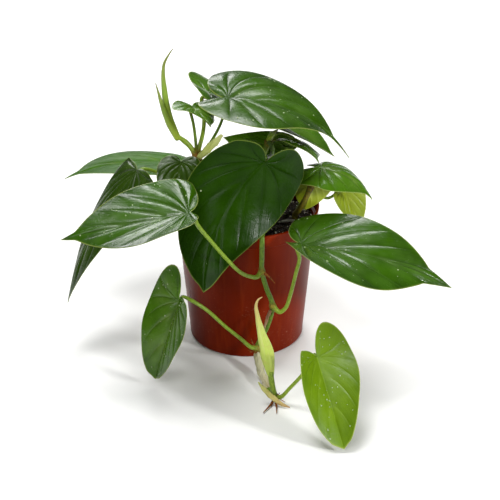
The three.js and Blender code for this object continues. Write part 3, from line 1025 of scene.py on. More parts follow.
LEAVES: dict[str, LeafShape] = {
    "leaf_front_left": LeafShape(
        base=(-46, -101, 167), tip=(-149, -104, 144), face=(-0.21, -0.06, 0.97), width=90, lobes=(0.08, 0.08),
        arch=5, fold=(11, 6), camber=-0.08, sides=(1, 0.95), rear=2, twist=-28,
        blunt=-0.17, full=(0.22, 0.22), tone=LeafTone.MATURE, grain=Grain.LARGE, quilt=1.5, wet=0.9,
    ),
    "leaf_front_right": LeafShape(
        base=(45, -77, 126), tip=(169, -92, 93), face=(0.28, 0.34, 0.9), width=92, lobes=(0.08, 0.1),
        arch=28, fold=(22, -4), camber=-0.03, sides=(0.97, 1.25), rear=20, twist=55, sway=-0.08,
        blunt=-0.5, full=(-0.12, -0.12), tone=LeafTone.MATURE, grain=Grain.LARGE, quilt=1.6, wet=0.5,
    ),
    "leaf_low_left": LeafShape(
        base=(-56, -82, 76), tip=(-77, -95, 7), face=(-0.65, -0.69, 0.33), width=52, lobes=(0.08, 0.36),
        arch=15, fold=(43, 25), camber=0.28, rear=20, twist=-12, sway=0.02, blunt=0.8, full=(1.2, 1.2),
        tone=LeafTone.FRESH, grain=Grain.MEDIUM, quilt=0.9, wet=1.2,
    ),
    "leaf_low_front": LeafShape(
        base=(57, -140, 56), tip=(78, -195, 4), face=(0.31, -0.6, 0.74), width=59, lobes=(0.34, 0.05),
        arch=2, fold=(15, 35), camber=-0.12, rear=12, twist=38, blunt=0.8, full=(1, 1),
        tone=LeafTone.YOUNG, grain=Grain.MEDIUM, quilt=0.45, wet=1.6,
    ),
    "leaf_centre": LeafShape(
        base=(15, -54, 189), tip=(-35, -101, 94), face=(0.34, -0.91, 0.07), width=100, lobes=(0.16, 0.1),
        arch=-33, fold=(-9, -2), camber=0.1, sides=(0.97, 0.78), rear=4, twist=54, sway=-0.08,
        blunt=0.5, full=(0, 1.5), tone=LeafTone.DEEP_SHADE, grain=Grain.LARGE, quilt=0.6, wet=0.06,
    ),
    "leaf_top": LeafShape(
        base=(-15, -6, 225), tip=(87, -8, 171), face=(0.44, 0.34, 0.83), width=104, lobes=(0.12, 0.23),
        arch=55, fold=(37, -1), camber=0.32, sides=(1, 1.04), twist=6, blunt=-0.5, full=(-0.6, -0.6),
        taper=0.3, tone=LeafTone.SATIN, grain=Grain.LARGE, quilt=1.9, wet=0.6,
    ),
    "leaf_top_behind": LeafShape(
        base=(-34, 47, 204.5), tip=(76, 24, 157.5), face=(0.41, 0.31, 0.82), width=84, lobes=(0.18, 0.12),
        arch=14, fold=(27, 17), camber=0.35, rear=24, twist=10, sway=-0.02, sides=(1.25, 1.02),
        blunt=0.28, full=(0.9, 0.56), tone=LeafTone.FRESH, grain=Grain.MEDIUM,
    ),
    "leaf_top_small": LeafShape(
        base=(-45, 5, 212), tip=(-29, -20, 205), face=(0.34, -0.04, 0.94), width=41, lobes=(0.2, 0.36),
        arch=12, fold=(8, 11), camber=0.28, rear=10, twist=-28, tone=LeafTone.FRESH,
    ),
    "leaf_behind_right": LeafShape(
        base=(43, 22, 171.7), tip=(61.5, -3, 164.4), face=(0.31, -0.13, 0.94), width=50, lobes=(0.29, 0.25),
        arch=38, fold=(-13, 20), camber=0.2, rear=8, twist=-16, blunt=-0.1, full=(-0.4, -0.1),
        tone=LeafTone.FRESH,
    ),
    "leaf_right": LeafShape(
        base=(63, -5, 161), tip=(107, -12, 134), face=(0.51, -0.15, 0.85), width=62, lobes=(0.26, 0.41),
        arch=54, fold=(-12, 4), camber=0.14, rear=-20, twist=4, blunt=-0.16, full=(-0.3, -0.3),
        tone=LeafTone.FRESH, grain=Grain.MEDIUM, quilt=1.1,
    ),
    "leaf_behind_centre": LeafShape(
        base=(36, 44, 156), tip=(-20, 36, 170), face=(0.1, -0.9, 0.4), width=32, lobes=(0.14, 0.12),
        arch=10, fold=(6, 6), camber=0.1, sides=(1.15, 0.8), blunt=0.3, full=(0.6, 0.3), tone=LeafTone.FRESH,
    ),
    "leaf_right_hanging": LeafShape(
        base=(57, -2, 149), tip=(50, -3, 120), face=(0.1, 1, 0.2), width=36, lobes=(0.08, 0.08),
        arch=-10, fold=(12, 12), blunt=0.5, full=(0.6, 0.6), tone=LeafTone.YELLOW, quilt=0.6,
    ),
    "leaf_far_right_hanging": LeafShape(
        base=(83, 14, 133), tip=(99, 8, 93), face=(0.5, -0.8, 0.2), width=34, lobes=(0.03, 0.03),
        arch=15, fold=(30, 30), camber=0.1, blunt=0.2, tone=LeafTone.YELLOW, quilt=0.6,
    ),
    "leaf_centre_left": LeafShape(
        base=(-55, -14, 170), tip=(-64, -66, 142), face=(-0.1, -0.45, 0.9), width=36, lobes=(0.12, 0.12),
        arch=20, fold=(10, 10), camber=0.1, tone=LeafTone.SHADED,
    ),
    "leaf_rear_left": LeafShape(
        base=(-57, 54, 136), tip=(-160, 47, 125), face=(-0.13, 0.23, 0.96), width=82, lobes=(0.19, 0.2),
        arch=33, fold=(13, 13), camber=0.28, rear=-13, twist=-11, blunt=-0.3, full=(0.4, 0.4),
        tone=LeafTone.MATT, grain=Grain.MEDIUM, quilt=0.6,
    ),
    "leaf_far_left": LeafShape(
        base=(-92, -11.7, 161.6), tip=(-153, -42, 50), face=(-0.84, -0.25, 0.53), width=61,
        lobes=(0.04, 0.02), arch=28, fold=(-11, 3), rear=14, twist=9, sway=-0.03, sides=(1.15, 0.9),
        blunt=0.2, full=(0.22, -0.32), tone=LeafTone.SHADED, grain=Grain.MEDIUM,
    ),
}
YOUNG_LEAVES = ("leaf_low_left", "leaf_low_front", "leaf_right_hanging", "leaf_far_right_hanging")


class Blade:
    """One heart-shaped blade, bent and folded round its midrib."""

    # Half of the outline from the notch round the lobe to the tip: x in lengths, y in half widths
    HALF_OUTLINE = (
        (0, 0), (-0.4, 0.055), (-0.8, 0.19), (-1, 0.4), (-0.82, 0.66), (-0.3, 0.89), (0.11, 1),
        (0.33, 0.92), (0.56, 0.66), (0.76, 0.34), (0.89, 0.11), (0.95, 0.04), (1, 0),
    )
    # What a blunt tip and a full middle add to some of its points
    BLUNT = {9: (0, 0.1), 10: (0.03, 0.19), 11: (0.02, 0.14)}
    FULL = {7: (0, 0.06), 8: (0, 0.15), 9: (0, 0.18), 10: (0, 0.08)}
    OUTLINE_STEPS = 16
    # Where the main side veins meet the rim, as shares of the way along it from the tip to the notch
    VEINS = (0.0, 0.1, 0.22, 0.35, 0.49, 0.65, 0.83, 1.0)
    # How far the second half's veins are shifted along the rim, so that they don't mirror the first half's
    VEIN_SHIFT = 0.012
    # How the rows run from the midrib: where the last one starts, how they spread, and how they bend forward
    LAST_ON_MIDRIB = 0.5
    MIDRIB_POWER = 3.0
    FLOW_START = 0.27
    FLOW_HEIGHT = 0.7
    # How closely the points crowd at the main veins, the midrib and the rim, from 0 to 1
    CROWD = 0.72
    # Thicknesses, heights and widths in millimetres
    HALF_THICKNESS = (0.28, 0.16)
    RIB_DEPTH = 0.75
    RIB_WIDTH = 1.0
    PALE_RIB_WIDTH = 0.75
    CHANNEL_DEPTH = 0.45
    CHANNEL_WIDTH = 1.4
    VEIN_DEPTH = 0.22
    VEIN_WIDTH = 0.55
    RIM_WIDTH = 0.5
    RIPPLE = 0.7
    # How softly the blade turns along the midrib and at the lobes, in half widths and in lengths
    FOLD_ROUND = 0.03
    LOBE_ROUND = 0.05
    VALUES = ("x", "y", "t", "share", "lift", "vein", "rim", "crest", "from_midrib")

    def __init__(self, shape: LeafShape, phase: float) -> None:
        """Works out the blade's own axes.

        Args:
            shape: the leaf's values.
            phase: shifts its ripples, so that no two leaves are alike.
        """
        self.shape = shape
        self.phase = phase
        chord = np.subtract(shape.tip, shape.base).astype(float)
        self.bend = math.radians(shape.arch)
        self.length = np.linalg.norm(chord) * self.bend / (2 * math.sin(self.bend / 2))
        self.dip = self.bend / 2
        self.ahead = unit(chord)
        face = np.array(shape.face, float)
        self.upward = unit(face - self.ahead * (face @ self.ahead))
        self.leftward = np.cross(self.upward, self.ahead)

    def place(self, x: Array, y: Array, lift: Array) -> Array:
        """Returns points of the blade.

        Args:
            x: shares of the midrib's length from its foot.
            y: shares of the half width, positive on the face's left.
            lift: heights above the blade's middle in millimetres.

        Returns:
            The points.
        """
        s = self.shape
        left = y >= 0
        half = s.width / 2 * np.where(left, *s.sides)
        fold = np.radians(np.where(left, *s.fold))
        away = np.sqrt(y**2 + self.FOLD_ROUND**2) - self.FOLD_ROUND
        sag = s.camber * half * away**2
        back = np.maximum(-x, 0) * self.length
        eased = (np.sqrt(x**2 + self.LOBE_ROUND**2) - x) / 2 * self.length
        across = y * half * np.cos(fold) + np.sign(y) * sag * np.sin(fold)
        lobe_rise = math.tan(math.radians(s.rear)) * eased * (0.4 + 0.6 * away)
        rise = away * half * np.sin(fold) - sag * np.cos(fold) + lobe_rise + lift
        turn = math.radians(s.twist) * np.clip(x, -0.3, 1)
        inside = np.clip(x, 0, 1)
        aside = across * np.cos(turn) - rise * np.sin(turn) + 4 * s.sway * self.length * inside * (1 - inside)
        up = across * np.sin(turn) + rise * np.cos(turn)
        angle = self.bend * inside
        run = self.length * np.sin(angle) / self.bend - back + up * np.sin(angle)
        drop = -self.length * (1 - np.cos(angle)) / self.bend + up * np.cos(angle)
        forward = run * math.cos(self.dip) - drop * math.sin(self.dip)
        upright = run * math.sin(self.dip) + drop * math.cos(self.dip)
        return (
            np.array(s.base)
            + forward[..., None] * self.ahead
            + aside[..., None] * self.leftward
            + upright[..., None] * self.upward
        )

    def joint(self) -> tuple[Array, Array]:
        """Works out how the blade lies where the petiole joins it.

        Returns:
            The midrib's direction, and the way up from the blade.
        """
        forward = self.ahead * math.cos(self.dip) + self.upward * math.sin(self.dip)
        up = self.upward * math.cos(self.dip) - self.ahead * math.sin(self.dip)
        return forward, up

    def margin(self, side: int) -> Array:
        """Works out one half's margin.

        Args:
            side: 0 for the half on the face's left, 1 for the other.

        Returns:
            Its points from the tip to the notch, as x in lengths and y in half widths.
        """
        s = self.shape
        points = []
        for i, (x, y) in enumerate(self.HALF_OUTLINE):
            bx, by = self.BLUNT.get(i, (0, 0))
            fx, fy = self.FULL.get(i, (0, 0))
            scaled = x * s.lobes[side] if x < 0 else x
            points.append((scaled + s.blunt * bx + s.full[side] * fx, y + s.blunt * by + s.full[side] * fy))
        knots = np.array([points[0], *points, points[-1]], float)
        t = (np.arange(self.OUTLINE_STEPS) / self.OUTLINE_STEPS)[:, None]
        line = [spline_piece(knots[i : i + 4], t) for i in range(len(points) - 1)]
        outline = np.vstack([*line, knots[-1:]])[::-1]
        least = s.taper * (1 - outline[:, 0]) * (outline[:, 0] > 0.5)
        return np.stack([outline[:, 0], np.maximum(outline[:, 1], least)], axis=1)

    def rows(self) -> tuple[Array, Array]:
        """Works out where the rows of points meet the rim, close together at the main veins.

        Returns:
            Shares of the way along the rim from tip to notch, and the same counted in gaps between veins.
        """
        detail = self.shape.grain.value
        u = np.arange(detail.rows) / detail.rows
        eased = u - self.CROWD * np.sin(math.tau * u) / math.tau
        starts = np.array(self.VEINS[:-1])
        widths = np.diff(self.VEINS)
        places = (starts[:, None] + eased * widths[:, None]).ravel()
        shares = (np.arange(len(starts))[:, None] + eased).ravel()
        return np.append(places, 1.0), np.append(shares, float(len(starts)))

    def half(self, side: int) -> dict[str, Array]:
        """Works out one half's grid of points, with a row for each place along the rim.

        Args:
            side: 0 for the half on the face's left, 1 for the other.

        Returns:
            Arrays by name, each with a row for each place and a column for each step from midrib to rim.
        """
        s = self.shape
        half_width = s.width / 2 * s.sides[side]
        places, shares = self.rows()
        outline = self.margin(side) * (1, half_width / self.length)
        reach = reach_of(outline)
        shift = self.VEIN_SHIFT * side * np.sin(math.pi * places)
        want = (places + shift) * reach[-1]
        ends = np.stack([np.interp(want, reach, outline[:, k]) for k in (0, 1)], axis=1)
        ends[:, 1] *= self.length / half_width
        starts = np.maximum(0, 1 - places / self.LAST_ON_MIDRIB) ** self.MIDRIB_POWER
        u = np.linspace(0, 1, s.grain.value.steps + 1)
        t = u - self.CROWD * np.sin(math.tau * u) / math.tau
        middle_x = starts + self.FLOW_START * (ends[:, 0] - starts)
        middle_y = self.FLOW_HEIGHT * ends[:, 1]
        bend, end = 2 * t * (1 - t), t**2
        x = starts[:, None] * (1 - t) ** 2 + middle_x[:, None] * bend + ends[:, :1] * end
        y = middle_y[:, None] * bend + ends[:, 1:] * end
        gap = np.diff(self.VEINS)[np.minimum(shares.astype(int), len(self.VEINS) - 2)]
        gap = gap * reach[-1] * self.length
        part = shares % 1
        from_vein = np.minimum(part, 1 - part)[:, None] * gap[:, None] * np.maximum(t, 0.02)
        way_out = (ends - starts[:, None] * (1, 0)) * (self.length, half_width)
        from_rim = (1 - t) * np.linalg.norm(way_out, axis=1)[:, None]
        from_midrib = y * half_width
        return {
            "x": x,
            "y": y,
            "t": np.broadcast_to(t, x.shape),
            "share": np.broadcast_to(shares[:, None], x.shape),
            "part": np.broadcast_to(part[:, None], x.shape),
            "from_vein": from_vein,
            "from_rim": from_rim,
            "from_midrib": np.where(x < 0, np.hypot(from_midrib, x * self.length), from_midrib),
        }

    def crest(self, grid: dict[str, Array]) -> Array:
        """Returns how far each point stands up between two side veins, from 0 to 1."""
        body = np.sin(math.pi * grid["t"] ** 0.8) ** 0.8
        return (1 - np.abs(2 * grid["part"] - 1) ** 3) * body * np.clip(4 * (1 - grid["x"]), 0, 1)

    def relief(self, grid: dict[str, Array], side: int) -> Array:
        """Works out the blade's relief: panels between the side veins, the midrib's channel and soft ripples.

        Args:
            grid: one half's values by name.
            side: 0 for the half on the face's left, 1 for the other.

        Returns:
            The height of each point above the blade's middle, in millimetres.
        """
        x, t = grid["x"], grid["t"]
        number = np.floor(grid["share"])
        vary = 0.8 + 0.35 * np.sin(2.4 * number + self.phase + 1.7 * side)
        panel = self.shape.quilt * vary * self.crest(grid)
        groove = self.VEIN_DEPTH * bell(grid["from_vein"], self.VEIN_WIDTH) * np.clip(1.2 - t, 0, 1)
        channel = self.CHANNEL_DEPTH * bell(grid["from_midrib"], self.CHANNEL_WIDTH) * np.clip(1.1 - x, 0, 1)
        wave = np.sin(7.3 * x + self.phase + 2.1 * side) + 0.6 * np.sin(12.1 * x - 2 * self.phase + side)
        return panel - groove - channel + self.RIPPLE * grid["y"] ** 2 * wave * np.clip(3 * (1 - x), 0, 1)

    @staticmethod
    def numbering(halves: list[dict[str, Array]]) -> tuple[list[Array], int]:
        """Numbers the vertices, which the two halves share along the midrib.

        Args:
            halves: each half's values by name.

        Returns:
            Each half's vertex numbers by row and step, and how many vertices there are.
        """
        count, steps = halves[0]["x"].shape
        numbers = []
        total = 2
        midrib = {}
        for side, half in enumerate(halves):
            index = np.zeros((count, steps), int)
            index[-1] = 1
            for i in range(1, count - 1):
                if half["x"][i, 0] <= 0:
                    index[i, 0] = 1
                elif side == 0:
                    midrib[i] = index[i, 0] = total
                    total += 1
                else:
                    index[i, 0] = midrib[i]
                index[i, 1:] = np.arange(total, total + steps - 1)
                total += steps - 1
            numbers.append(index)
        return numbers, total

    def grids(self) -> tuple[dict[str, Array], Array, Array]:
        """Joins the two halves along the midrib.

        Returns:
            Values by name for each vertex, the corners of each face, and the vertices round the rim in order.
        """
        halves = [self.half(side) for side in (0, 1)]
        numbers, total = self.numbering(halves)
        values = {name: np.zeros(total) for name in self.VALUES}
        for side in (1, 0):
            grid, index = halves[side], numbers[side]
            sign = 1 if side == 0 else -1
            fade = np.clip(1.15 - grid["t"], 0, 1) * np.clip(6 * grid["t"], 0, 1)
            rib = bell(grid["from_midrib"], self.PALE_RIB_WIDTH) * np.clip(1.3 - grid["x"], 0, 1)
            rib *= grid["x"] > -0.01
            made = {
                **grid,
                "y": sign * grid["y"],
                "lift": self.relief(grid, side),
                "vein": np.maximum(bell(grid["from_vein"], self.VEIN_WIDTH) * fade, rib),
                "rim": bell(grid["from_rim"], self.RIM_WIDTH),
                "crest": self.crest(grid),
            }
            for name, value in values.items():
                value[index] = made[name]
        faces = []
        for side, index in enumerate(numbers):
            corners = np.stack([index[:-1, :-1], index[:-1, 1:], index[1:, 1:], index[1:, :-1]], axis=-1)
            corners = corners.reshape(-1, 4)
            faces.append(corners if side == 0 else corners[:, ::-1])
        rim = np.concatenate([numbers[0][:, -1], numbers[1][-2:0:-1, -1]])
        return values, np.vstack(faces), rim

    def mesh(self, name: str) -> tuple[Mesh, Array, Array, Array]:
        """Builds the closed blade.

        Args:
            name: the mesh's name.

        Returns:
            The mesh, and for drops the points and faces of its upper side and how wet each point can be.
        """
        values, faces, rim = self.grids()
        middle = self.place(values["x"], values["y"], values["lift"])
        normals = vertex_normals(middle, faces)
        thick, thin = self.HALF_THICKNESS
        half = thick + (thin - thick) * values["t"] ** 3
        inside = np.clip(values["x"], 0, 1)
        rib = self.RIB_DEPTH * bell(values["from_midrib"], self.RIB_WIDTH) * (1 - inside) ** 0.6
        rib *= values["x"] > -0.02
        upper = middle + normals * half[:, None]
        lower = middle - normals * (half + rib)[:, None]
        around = middle[rim]
        along = np.roll(around, -1, axis=0) - np.roll(around, 1, axis=0)
        edge = around + unit(np.cross(along, normals[rim])) * thin
        count = len(middle)
        points = np.vstack([upper, lower, edge])
        polygons = [plain(face) for face in faces]
        polygons += [plain(face[::-1] + count) for face in faces]
        ring = 2 * count + np.arange(len(rim))
        following = np.roll(rim, -1)
        for here, there, first, second in zip(rim, following, ring, np.roll(ring, -1)):
            polygons.append([int(here), int(first), int(second), int(there)])
            polygons.append([int(first), int(here + count), int(there + count), int(second)])
        mesh = build_mesh(name, points, [face for face in polygons if len(face) > 2])
        # crest also carries the painted highlight that the leaf material paints on the panel tops
        put_values(
            mesh,
            vein=np.concatenate([values["vein"], values["vein"], np.zeros(len(rim))]),
            rim=np.concatenate([values["rim"], values["rim"], np.ones(len(rim))]),
            under=np.concatenate([np.zeros(count), np.ones(count), np.full(len(rim), 0.5)]),
            crest=np.concatenate([values["crest"], values["crest"], np.zeros(len(rim))]),
        )
        across = values["t"] + 2 * (values["y"] < 0)
        flow = np.stack([values["share"] / (len(self.VEINS) - 1), across], axis=1)
        put_flow(mesh, np.vstack([flow, flow, flow[rim]]))
        patches = np.sin(9 * values["x"] + self.phase) * np.sin(5 * values["y"] + 2 * self.phase)
        cover = np.clip(0.5 + 0.8 * patches, 0.05, 1) * (values["t"] < 0.93) * self.shape.wet
        return mesh, upper, faces, cover


def spline_piece(knots: Array, t: Array) -> Array:
    """Works out a smooth line between the middle two of four knots.

    Args:
        knots: the four knots.
        t: shares of the way along it, one in each row.

    Returns:
        The point at each share.
    """
    before, start, end, after = knots
    return cubic(start, end, (end - before) / 2, (after - start) / 2, t)


@dataclass
class Foliage:
    """All the leaves, with the water drops that lie on them."""

    bits: Bits = Bits(8, 3, (1, 1, 0.62), 15000, (0.28, 0.85), 11, floor=-0.1)
    blades: dict[str, Blade] = field(default_factory=dict)

    def __post_init__(self) -> None:
        """Works out every blade's axes."""
        for number, (name, shape) in enumerate(LEAVES.items()):
            self.blades[name] = Blade(shape, 1.3 * number)

    def build(self) -> None:
        """Makes each blade, and then the drops on the wet ones."""
        materials = {tone: tone.value.material("leaf_" + tone.name.lower()) for tone in LeafTone}
        surfaces = []
        for name, blade in self.blades.items():
            mesh, upper, faces, cover = blade.mesh(name + "_blade")
            slot = "young_leaf" if name in YOUNG_LEAVES else "leaf"
            Piece.finish(name + "_blade", mesh, materials[blade.shape.tone], [name], slot)
            if blade.shape.wet > 0:
                surfaces.append((upper, faces, cover))
        self.drops(surfaces)

    def drops(self, surfaces: list[tuple[Array, Array, Array]]) -> None:
        """Scatters water drops over the upper sides of the wet leaves.

        Args:
            surfaces: points, faces and cover of each upper side.
        """
        starts = np.cumsum([0, *(len(points) for points, _, _ in surfaces)])
        points = np.vstack([surface[0] for surface in surfaces])
        faces = [plain(face + start) for (_, corners, _), start in zip(surfaces, starts) for face in corners]
        ground = build_mesh("wet_faces", points, [face for face in faces if len(face) > 2])
        put_values(ground, cover=np.concatenate([surface[2] for surface in surfaces]))
        Piece.finish("water_drops", self.bits.over(ground, Water().material()), None)


# Stems, roots and sheaths


def smooth_line(points: Sequence[Point], spacing: float) -> Array:
    """Draws a smooth line through some points, without loops between them.

    Args:
        points: what it runs through.
        spacing: about how far apart its points are, in millimetres.

    Returns:
        Its evenly spaced points.
    """
    knots = np.array(points, float)
    first, last = 2 * knots[0] - knots[1], 2 * knots[-1] - knots[-2]
    knots = np.vstack([first, knots, last])
    fine = []
    t = np.linspace(0, 1, 24, endpoint=False)[:, None]
    for i in range(1, len(knots) - 2):
        before, start, end, after = knots[i - 1 : i + 3]
        back, step, on = (
            max(np.linalg.norm(b - a) ** 0.5, 1e-4) for a, b in ((before, start), (start, end), (end, after))
        )
        slope = (end - start) / step
        leave = (start - before) / back - (end - before) / (back + step) + slope
        arrive = slope - (after - start) / (step + on) + (after - end) / on
        fine.append(cubic(start, end, leave * step, arrive * step, t))
    line = np.vstack([*fine, knots[-2:-1]])
    reach = reach_of(line)
    count = max(3, round(reach[-1] / spacing) + 1)
    want = np.linspace(0, reach[-1], count)
    return np.stack([np.interp(want, reach, line[:, k]) for k in range(3)], axis=1)


@dataclass(frozen=True)
class Limb:
    """A stem, petiole or root: its route, its radii along it, how pale it is and how brown."""

    route: tuple[Point, ...]
    radii: tuple[float, ...]
    tone: float = 0.35
    brown: float = 0.0


@dataclass(frozen=True)
class Knot:
    """A node of a stem: its middle, how much it swells and how far the swelling reaches."""

    centre: Point
    swell: float = 1.0
    reach: float = 2.4
    brown: float = 0.6


@dataclass(frozen=True)
class Stem:
    """A stem with everything that grows from it in one node."""

    node: str
    limbs: tuple[Limb, ...]
    knots: tuple[Knot, ...]


@dataclass
class Stems:
    """The five stems with their petioles, knots and roots."""

    foliage: Foliage
    vine: float = 2.1
    stem: float = 2.9
    petiole_radius: float = 1.8
    thin_radius: float = 1.35
    groove: float = 0.22
    foot: float = 82
    soil_height: float = 110
    gap: float = 0.35
    blade_half: float = 0.4
    spacing: float = 1.2
    sides: int = 16
    flow_length: float = 20
    rootlet_seed: int = 5

    HOLES: ClassVar[dict[str, Pair]] = {
        "trailing": (14, -38), "crown": (-20, 5), "rear": (5, 25), "right": (42, 0), "left": (-25, 15),
    }
    TRAIL_NODES: ClassVar[tuple[Point, ...]] = ((13, -67, 95), (22, -65, 61), (9, -63, 18), (24, -119, 4.2))
    CROWN: ClassVar[Point] = (-42, -1, 170)
    REAR: ClassVar[Point] = (19, 30, 169)
    RIGHT: ClassVar[Point] = (55, -9, 145)
    LEFT: ClassVar[Point] = (-50, 10, 139)
    # How many fine roots grow at each node of the trailing stem, and about how long they are
    ROOTLETS: ClassVar[tuple[tuple[int, float], ...]] = ((4, 7), (0, 0), (9, 9), (8, 10))
    # How far along the blade's midrib a petiole's last two points lie, in millimetres
    JOINT: ClassVar[Pair] = (-3, 4)

    def rooted(self, name: str) -> list[Point]:
        """Lays out the upright part of a stem in the soil.

        Args:
            name: the stem's hole.

        Returns:
            The start of its route.
        """
        x, y = self.HOLES[name]
        top = self.soil_height
        return [(x, y, z) for z in (self.foot, top - 9, top + 1, top + 4)]

    def petiole(
        self,
        points: Sequence[Point],
        leaf: str,
        thin: bool = False,
        room: float = 0.0,
        above: bool = False,
        tone: float = 0.4,
    ) -> Limb:
        """Makes a petiole that ends along the foot of its leaf's midrib.

        Args:
            points: its route up to the leaf.
            leaf: the leaf's node.
            thin: whether it is a thin one.
            room: what is added to its gap to the blade.
            above: whether it lies on the blade, and not under it.
            tone: how pale it is.

        Returns:
            The petiole.
        """
        radius = self.thin_radius if thin else self.petiole_radius
        forward, up = self.foliage.blades[leaf].joint()
        offset = (radius + self.blade_half + self.gap + room) * (1 if above else -1)
        base = np.array(LEAVES[leaf].base)
        ends = [tuple(base + forward * distance + up * offset) for distance in self.JOINT]
        radii = tuple(radius * share for share in (1.25, 1, 0.95, 0.95, 0.95, 1, 0.7))
        return Limb((*points, *ends), radii, tone)

    @staticmethod
    def root(*route: Point) -> Limb:
        """Returns a short brown root."""
        return Limb(route, (1.3, 1.0, 0.6, 0.3), 0.2, 1.0)

    def trailing(self) -> Stem:
        """Lays out the stem that climbs over the rim, hangs down the front and lies on the surface.

        Returns:
            The stem, with a petiole at each node and short roots.
        """
        first, second, third, fourth = self.TRAIL_NODES
        route = (
            *self.rooted("trailing"), (13.5, -46, 125), (13, -57, 129), (13, -65, 125.5), (13, -67.5, 112),
            first, (17, -66, 78), second, (18, -64, 41), third, (10, -71, 10.5), (12.5, -82, 6),
            (16.5, -97, 4.4), (20.5, -111, 4.2), fourth,
        )
        limbs = (
            Limb(route, (self.vine, self.vine), 0.12),
            self.petiole(
                (first, (9, -72, 92.5), (3, -79, 96.5), (-5, -88, 105.5), (-17, -96, 123.5),
                 (-29, -100, 141.5), (-39, -101, 156)),
                "leaf_front_left", tone=0.55),
            self.petiole(
                (second, (28, -70, 57.5), (33, -71, 62), (37, -73, 76), (41, -75, 96), (44, -77, 113)),
                "leaf_front_right", tone=0.7),
            self.petiole(
                (third, (4, -67, 21), (-5, -71, 32), (-18, -76, 47), (-33, -80, 65), (-46, -81, 75)),
                "leaf_low_left", tone=0.5),
            self.petiole(
                (fourth, (29, -123, 7), (36, -127, 18), (46, -132, 34), (52, -135, 46)),
                "leaf_low_front", tone=0.8),
            Limb((fourth, (22, -121, 14), (20.5, -121, 24), (20, -121, 31)), (2.6, 2.4, 2.6), 0.75),
            self.root(first, (19, -69.5, 91), (24, -71.5, 86)),
            self.root(third, (4, -66, 20), (-0.5, -67, 25)),
            self.root(third, (6, -64.5, 22), (4, -64.5, 28)),
            self.root(fourth, (20, -128, 2.4), (14, -138, 1.4)),
            self.root(fourth, (25, -129, 2.6), (25, -139, 1.4)),
        )
        knots = tuple(Knot(centre) for centre in self.TRAIL_NODES)
        return Stem("trailing_stem", limbs, knots)

    def crown(self) -> Stem:
        """Lays out the stem that ends at the crown.

        Returns:
            The stem, with the petioles of the top leaves and the foot of the new shoot.
        """
        shoot_end = (-58, 0, 188)
        limbs = (
            Limb((*self.rooted("crown"), (-26, 3, 134), (-36, 0, 157), self.CROWN), (self.stem,) * 2, 0.3),
            Limb((self.CROWN, (-49, 0, 180), shoot_end), (2.6, 2.2, 2.4, 1.6), 0.75),
            self.petiole(
                (self.CROWN, (-43, 4, 184), (-44.5, 6, 196)), "leaf_top_small", thin=True, tone=0.35),
            self.petiole((self.CROWN, (-37, 9, 185), (-36, 27, 193)), "leaf_top_behind", tone=0.75),
            self.petiole(
                (self.CROWN, (-35, 2, 174), (-28, 4, 184), (-20, -1, 204)),
                "leaf_top", thin=True, tone=0.1),
        )
        return Stem("crown_stem", limbs, (Knot(self.CROWN, 1.8, 3.6, 1.0), Knot(shoot_end, 0.4, 1.5, 0.1)))

    def rear(self) -> Stem:
        """Lays out the stem at the rear.

        Returns:
            The stem, with the petioles of the centre leaf and of two leaves behind it.
        """
        limbs = (
            Limb((*self.rooted("rear"), (9, 27, 140), self.REAR), (self.stem, self.stem * 0.9), 0.3),
            self.petiole(
                (self.REAR, (22, 12, 172), (21, -16, 178), (17, -40, 187)),
                "leaf_centre", room=0.5, tone=0.0),
            self.petiole(
                (self.REAR, (25, 29, 175.5), (31, 28, 177.5), (39, 26, 174)),
                "leaf_behind_right", thin=True, above=True, tone=0.25),
            self.petiole(
                (self.REAR, (27, 33, 169.5), (36, 36, 166), (43, 40, 160)),
                "leaf_behind_centre", thin=True, above=True, tone=0.1),
        )
        return Stem("rear_stem", limbs, (Knot(self.REAR, 1.0, 3.0),))

    def right(self) -> Stem:
        """Lays out the stem at the right.

        Returns:
            The stem, with the petioles of the right leaf and of the two young ones there.
        """
        limbs = (
            Limb(
                (*self.rooted("right"), (45, -7, 122), (50, -11, 134), self.RIGHT),
                (self.stem, self.stem * 0.8), 0.05, 0.45),
            self.petiole((self.RIGHT, (58, -9, 153)), "leaf_right", room=0.6, tone=0.4),
            self.petiole((self.RIGHT, (56, -7, 150)), "leaf_right_hanging", thin=True, tone=0.5),
            self.petiole(
                ((42, 0, 112.5), (46, 9, 119), (53, 13, 127), (60, 10, 128.5), (70, 5, 127), (78, 9, 131)),
                "leaf_far_right_hanging", thin=True, tone=0.45),
        )
        return Stem("right_stem", limbs, (Knot(self.RIGHT, 0.9, 2.8),))

    def left(self) -> Stem:
        """Lays out the stem at the left.

        Returns:
            The stem, with the petioles of three leaves and the stub of an old leaf stalk.
        """
        stub = ((-64, 2, 136), (-80, -9, 140), (-87, -14, 148), (-88, -15, 158))
        limbs = (
            Limb((*self.rooted("left"), (-37, 12, 127), self.LEFT), (self.stem, self.stem), 0.3),
            self.petiole((self.LEFT, (-49, 30, 133)), "leaf_rear_left", tone=0.4),
            self.petiole((self.LEFT, (-62, -1, 147), (-76, -6, 157)), "leaf_far_left", room=0.4, tone=0.4),
            self.petiole((self.LEFT, (-52, 2, 151), (-54, -4, 162)), "leaf_centre_left", tone=0.4),
            Limb((self.LEFT, *stub), (2.6, 2.8, 3.1, 3.1), 0.6),
        )
        return Stem("left_stem", limbs, (Knot(self.LEFT, 1.0, 3.0),))

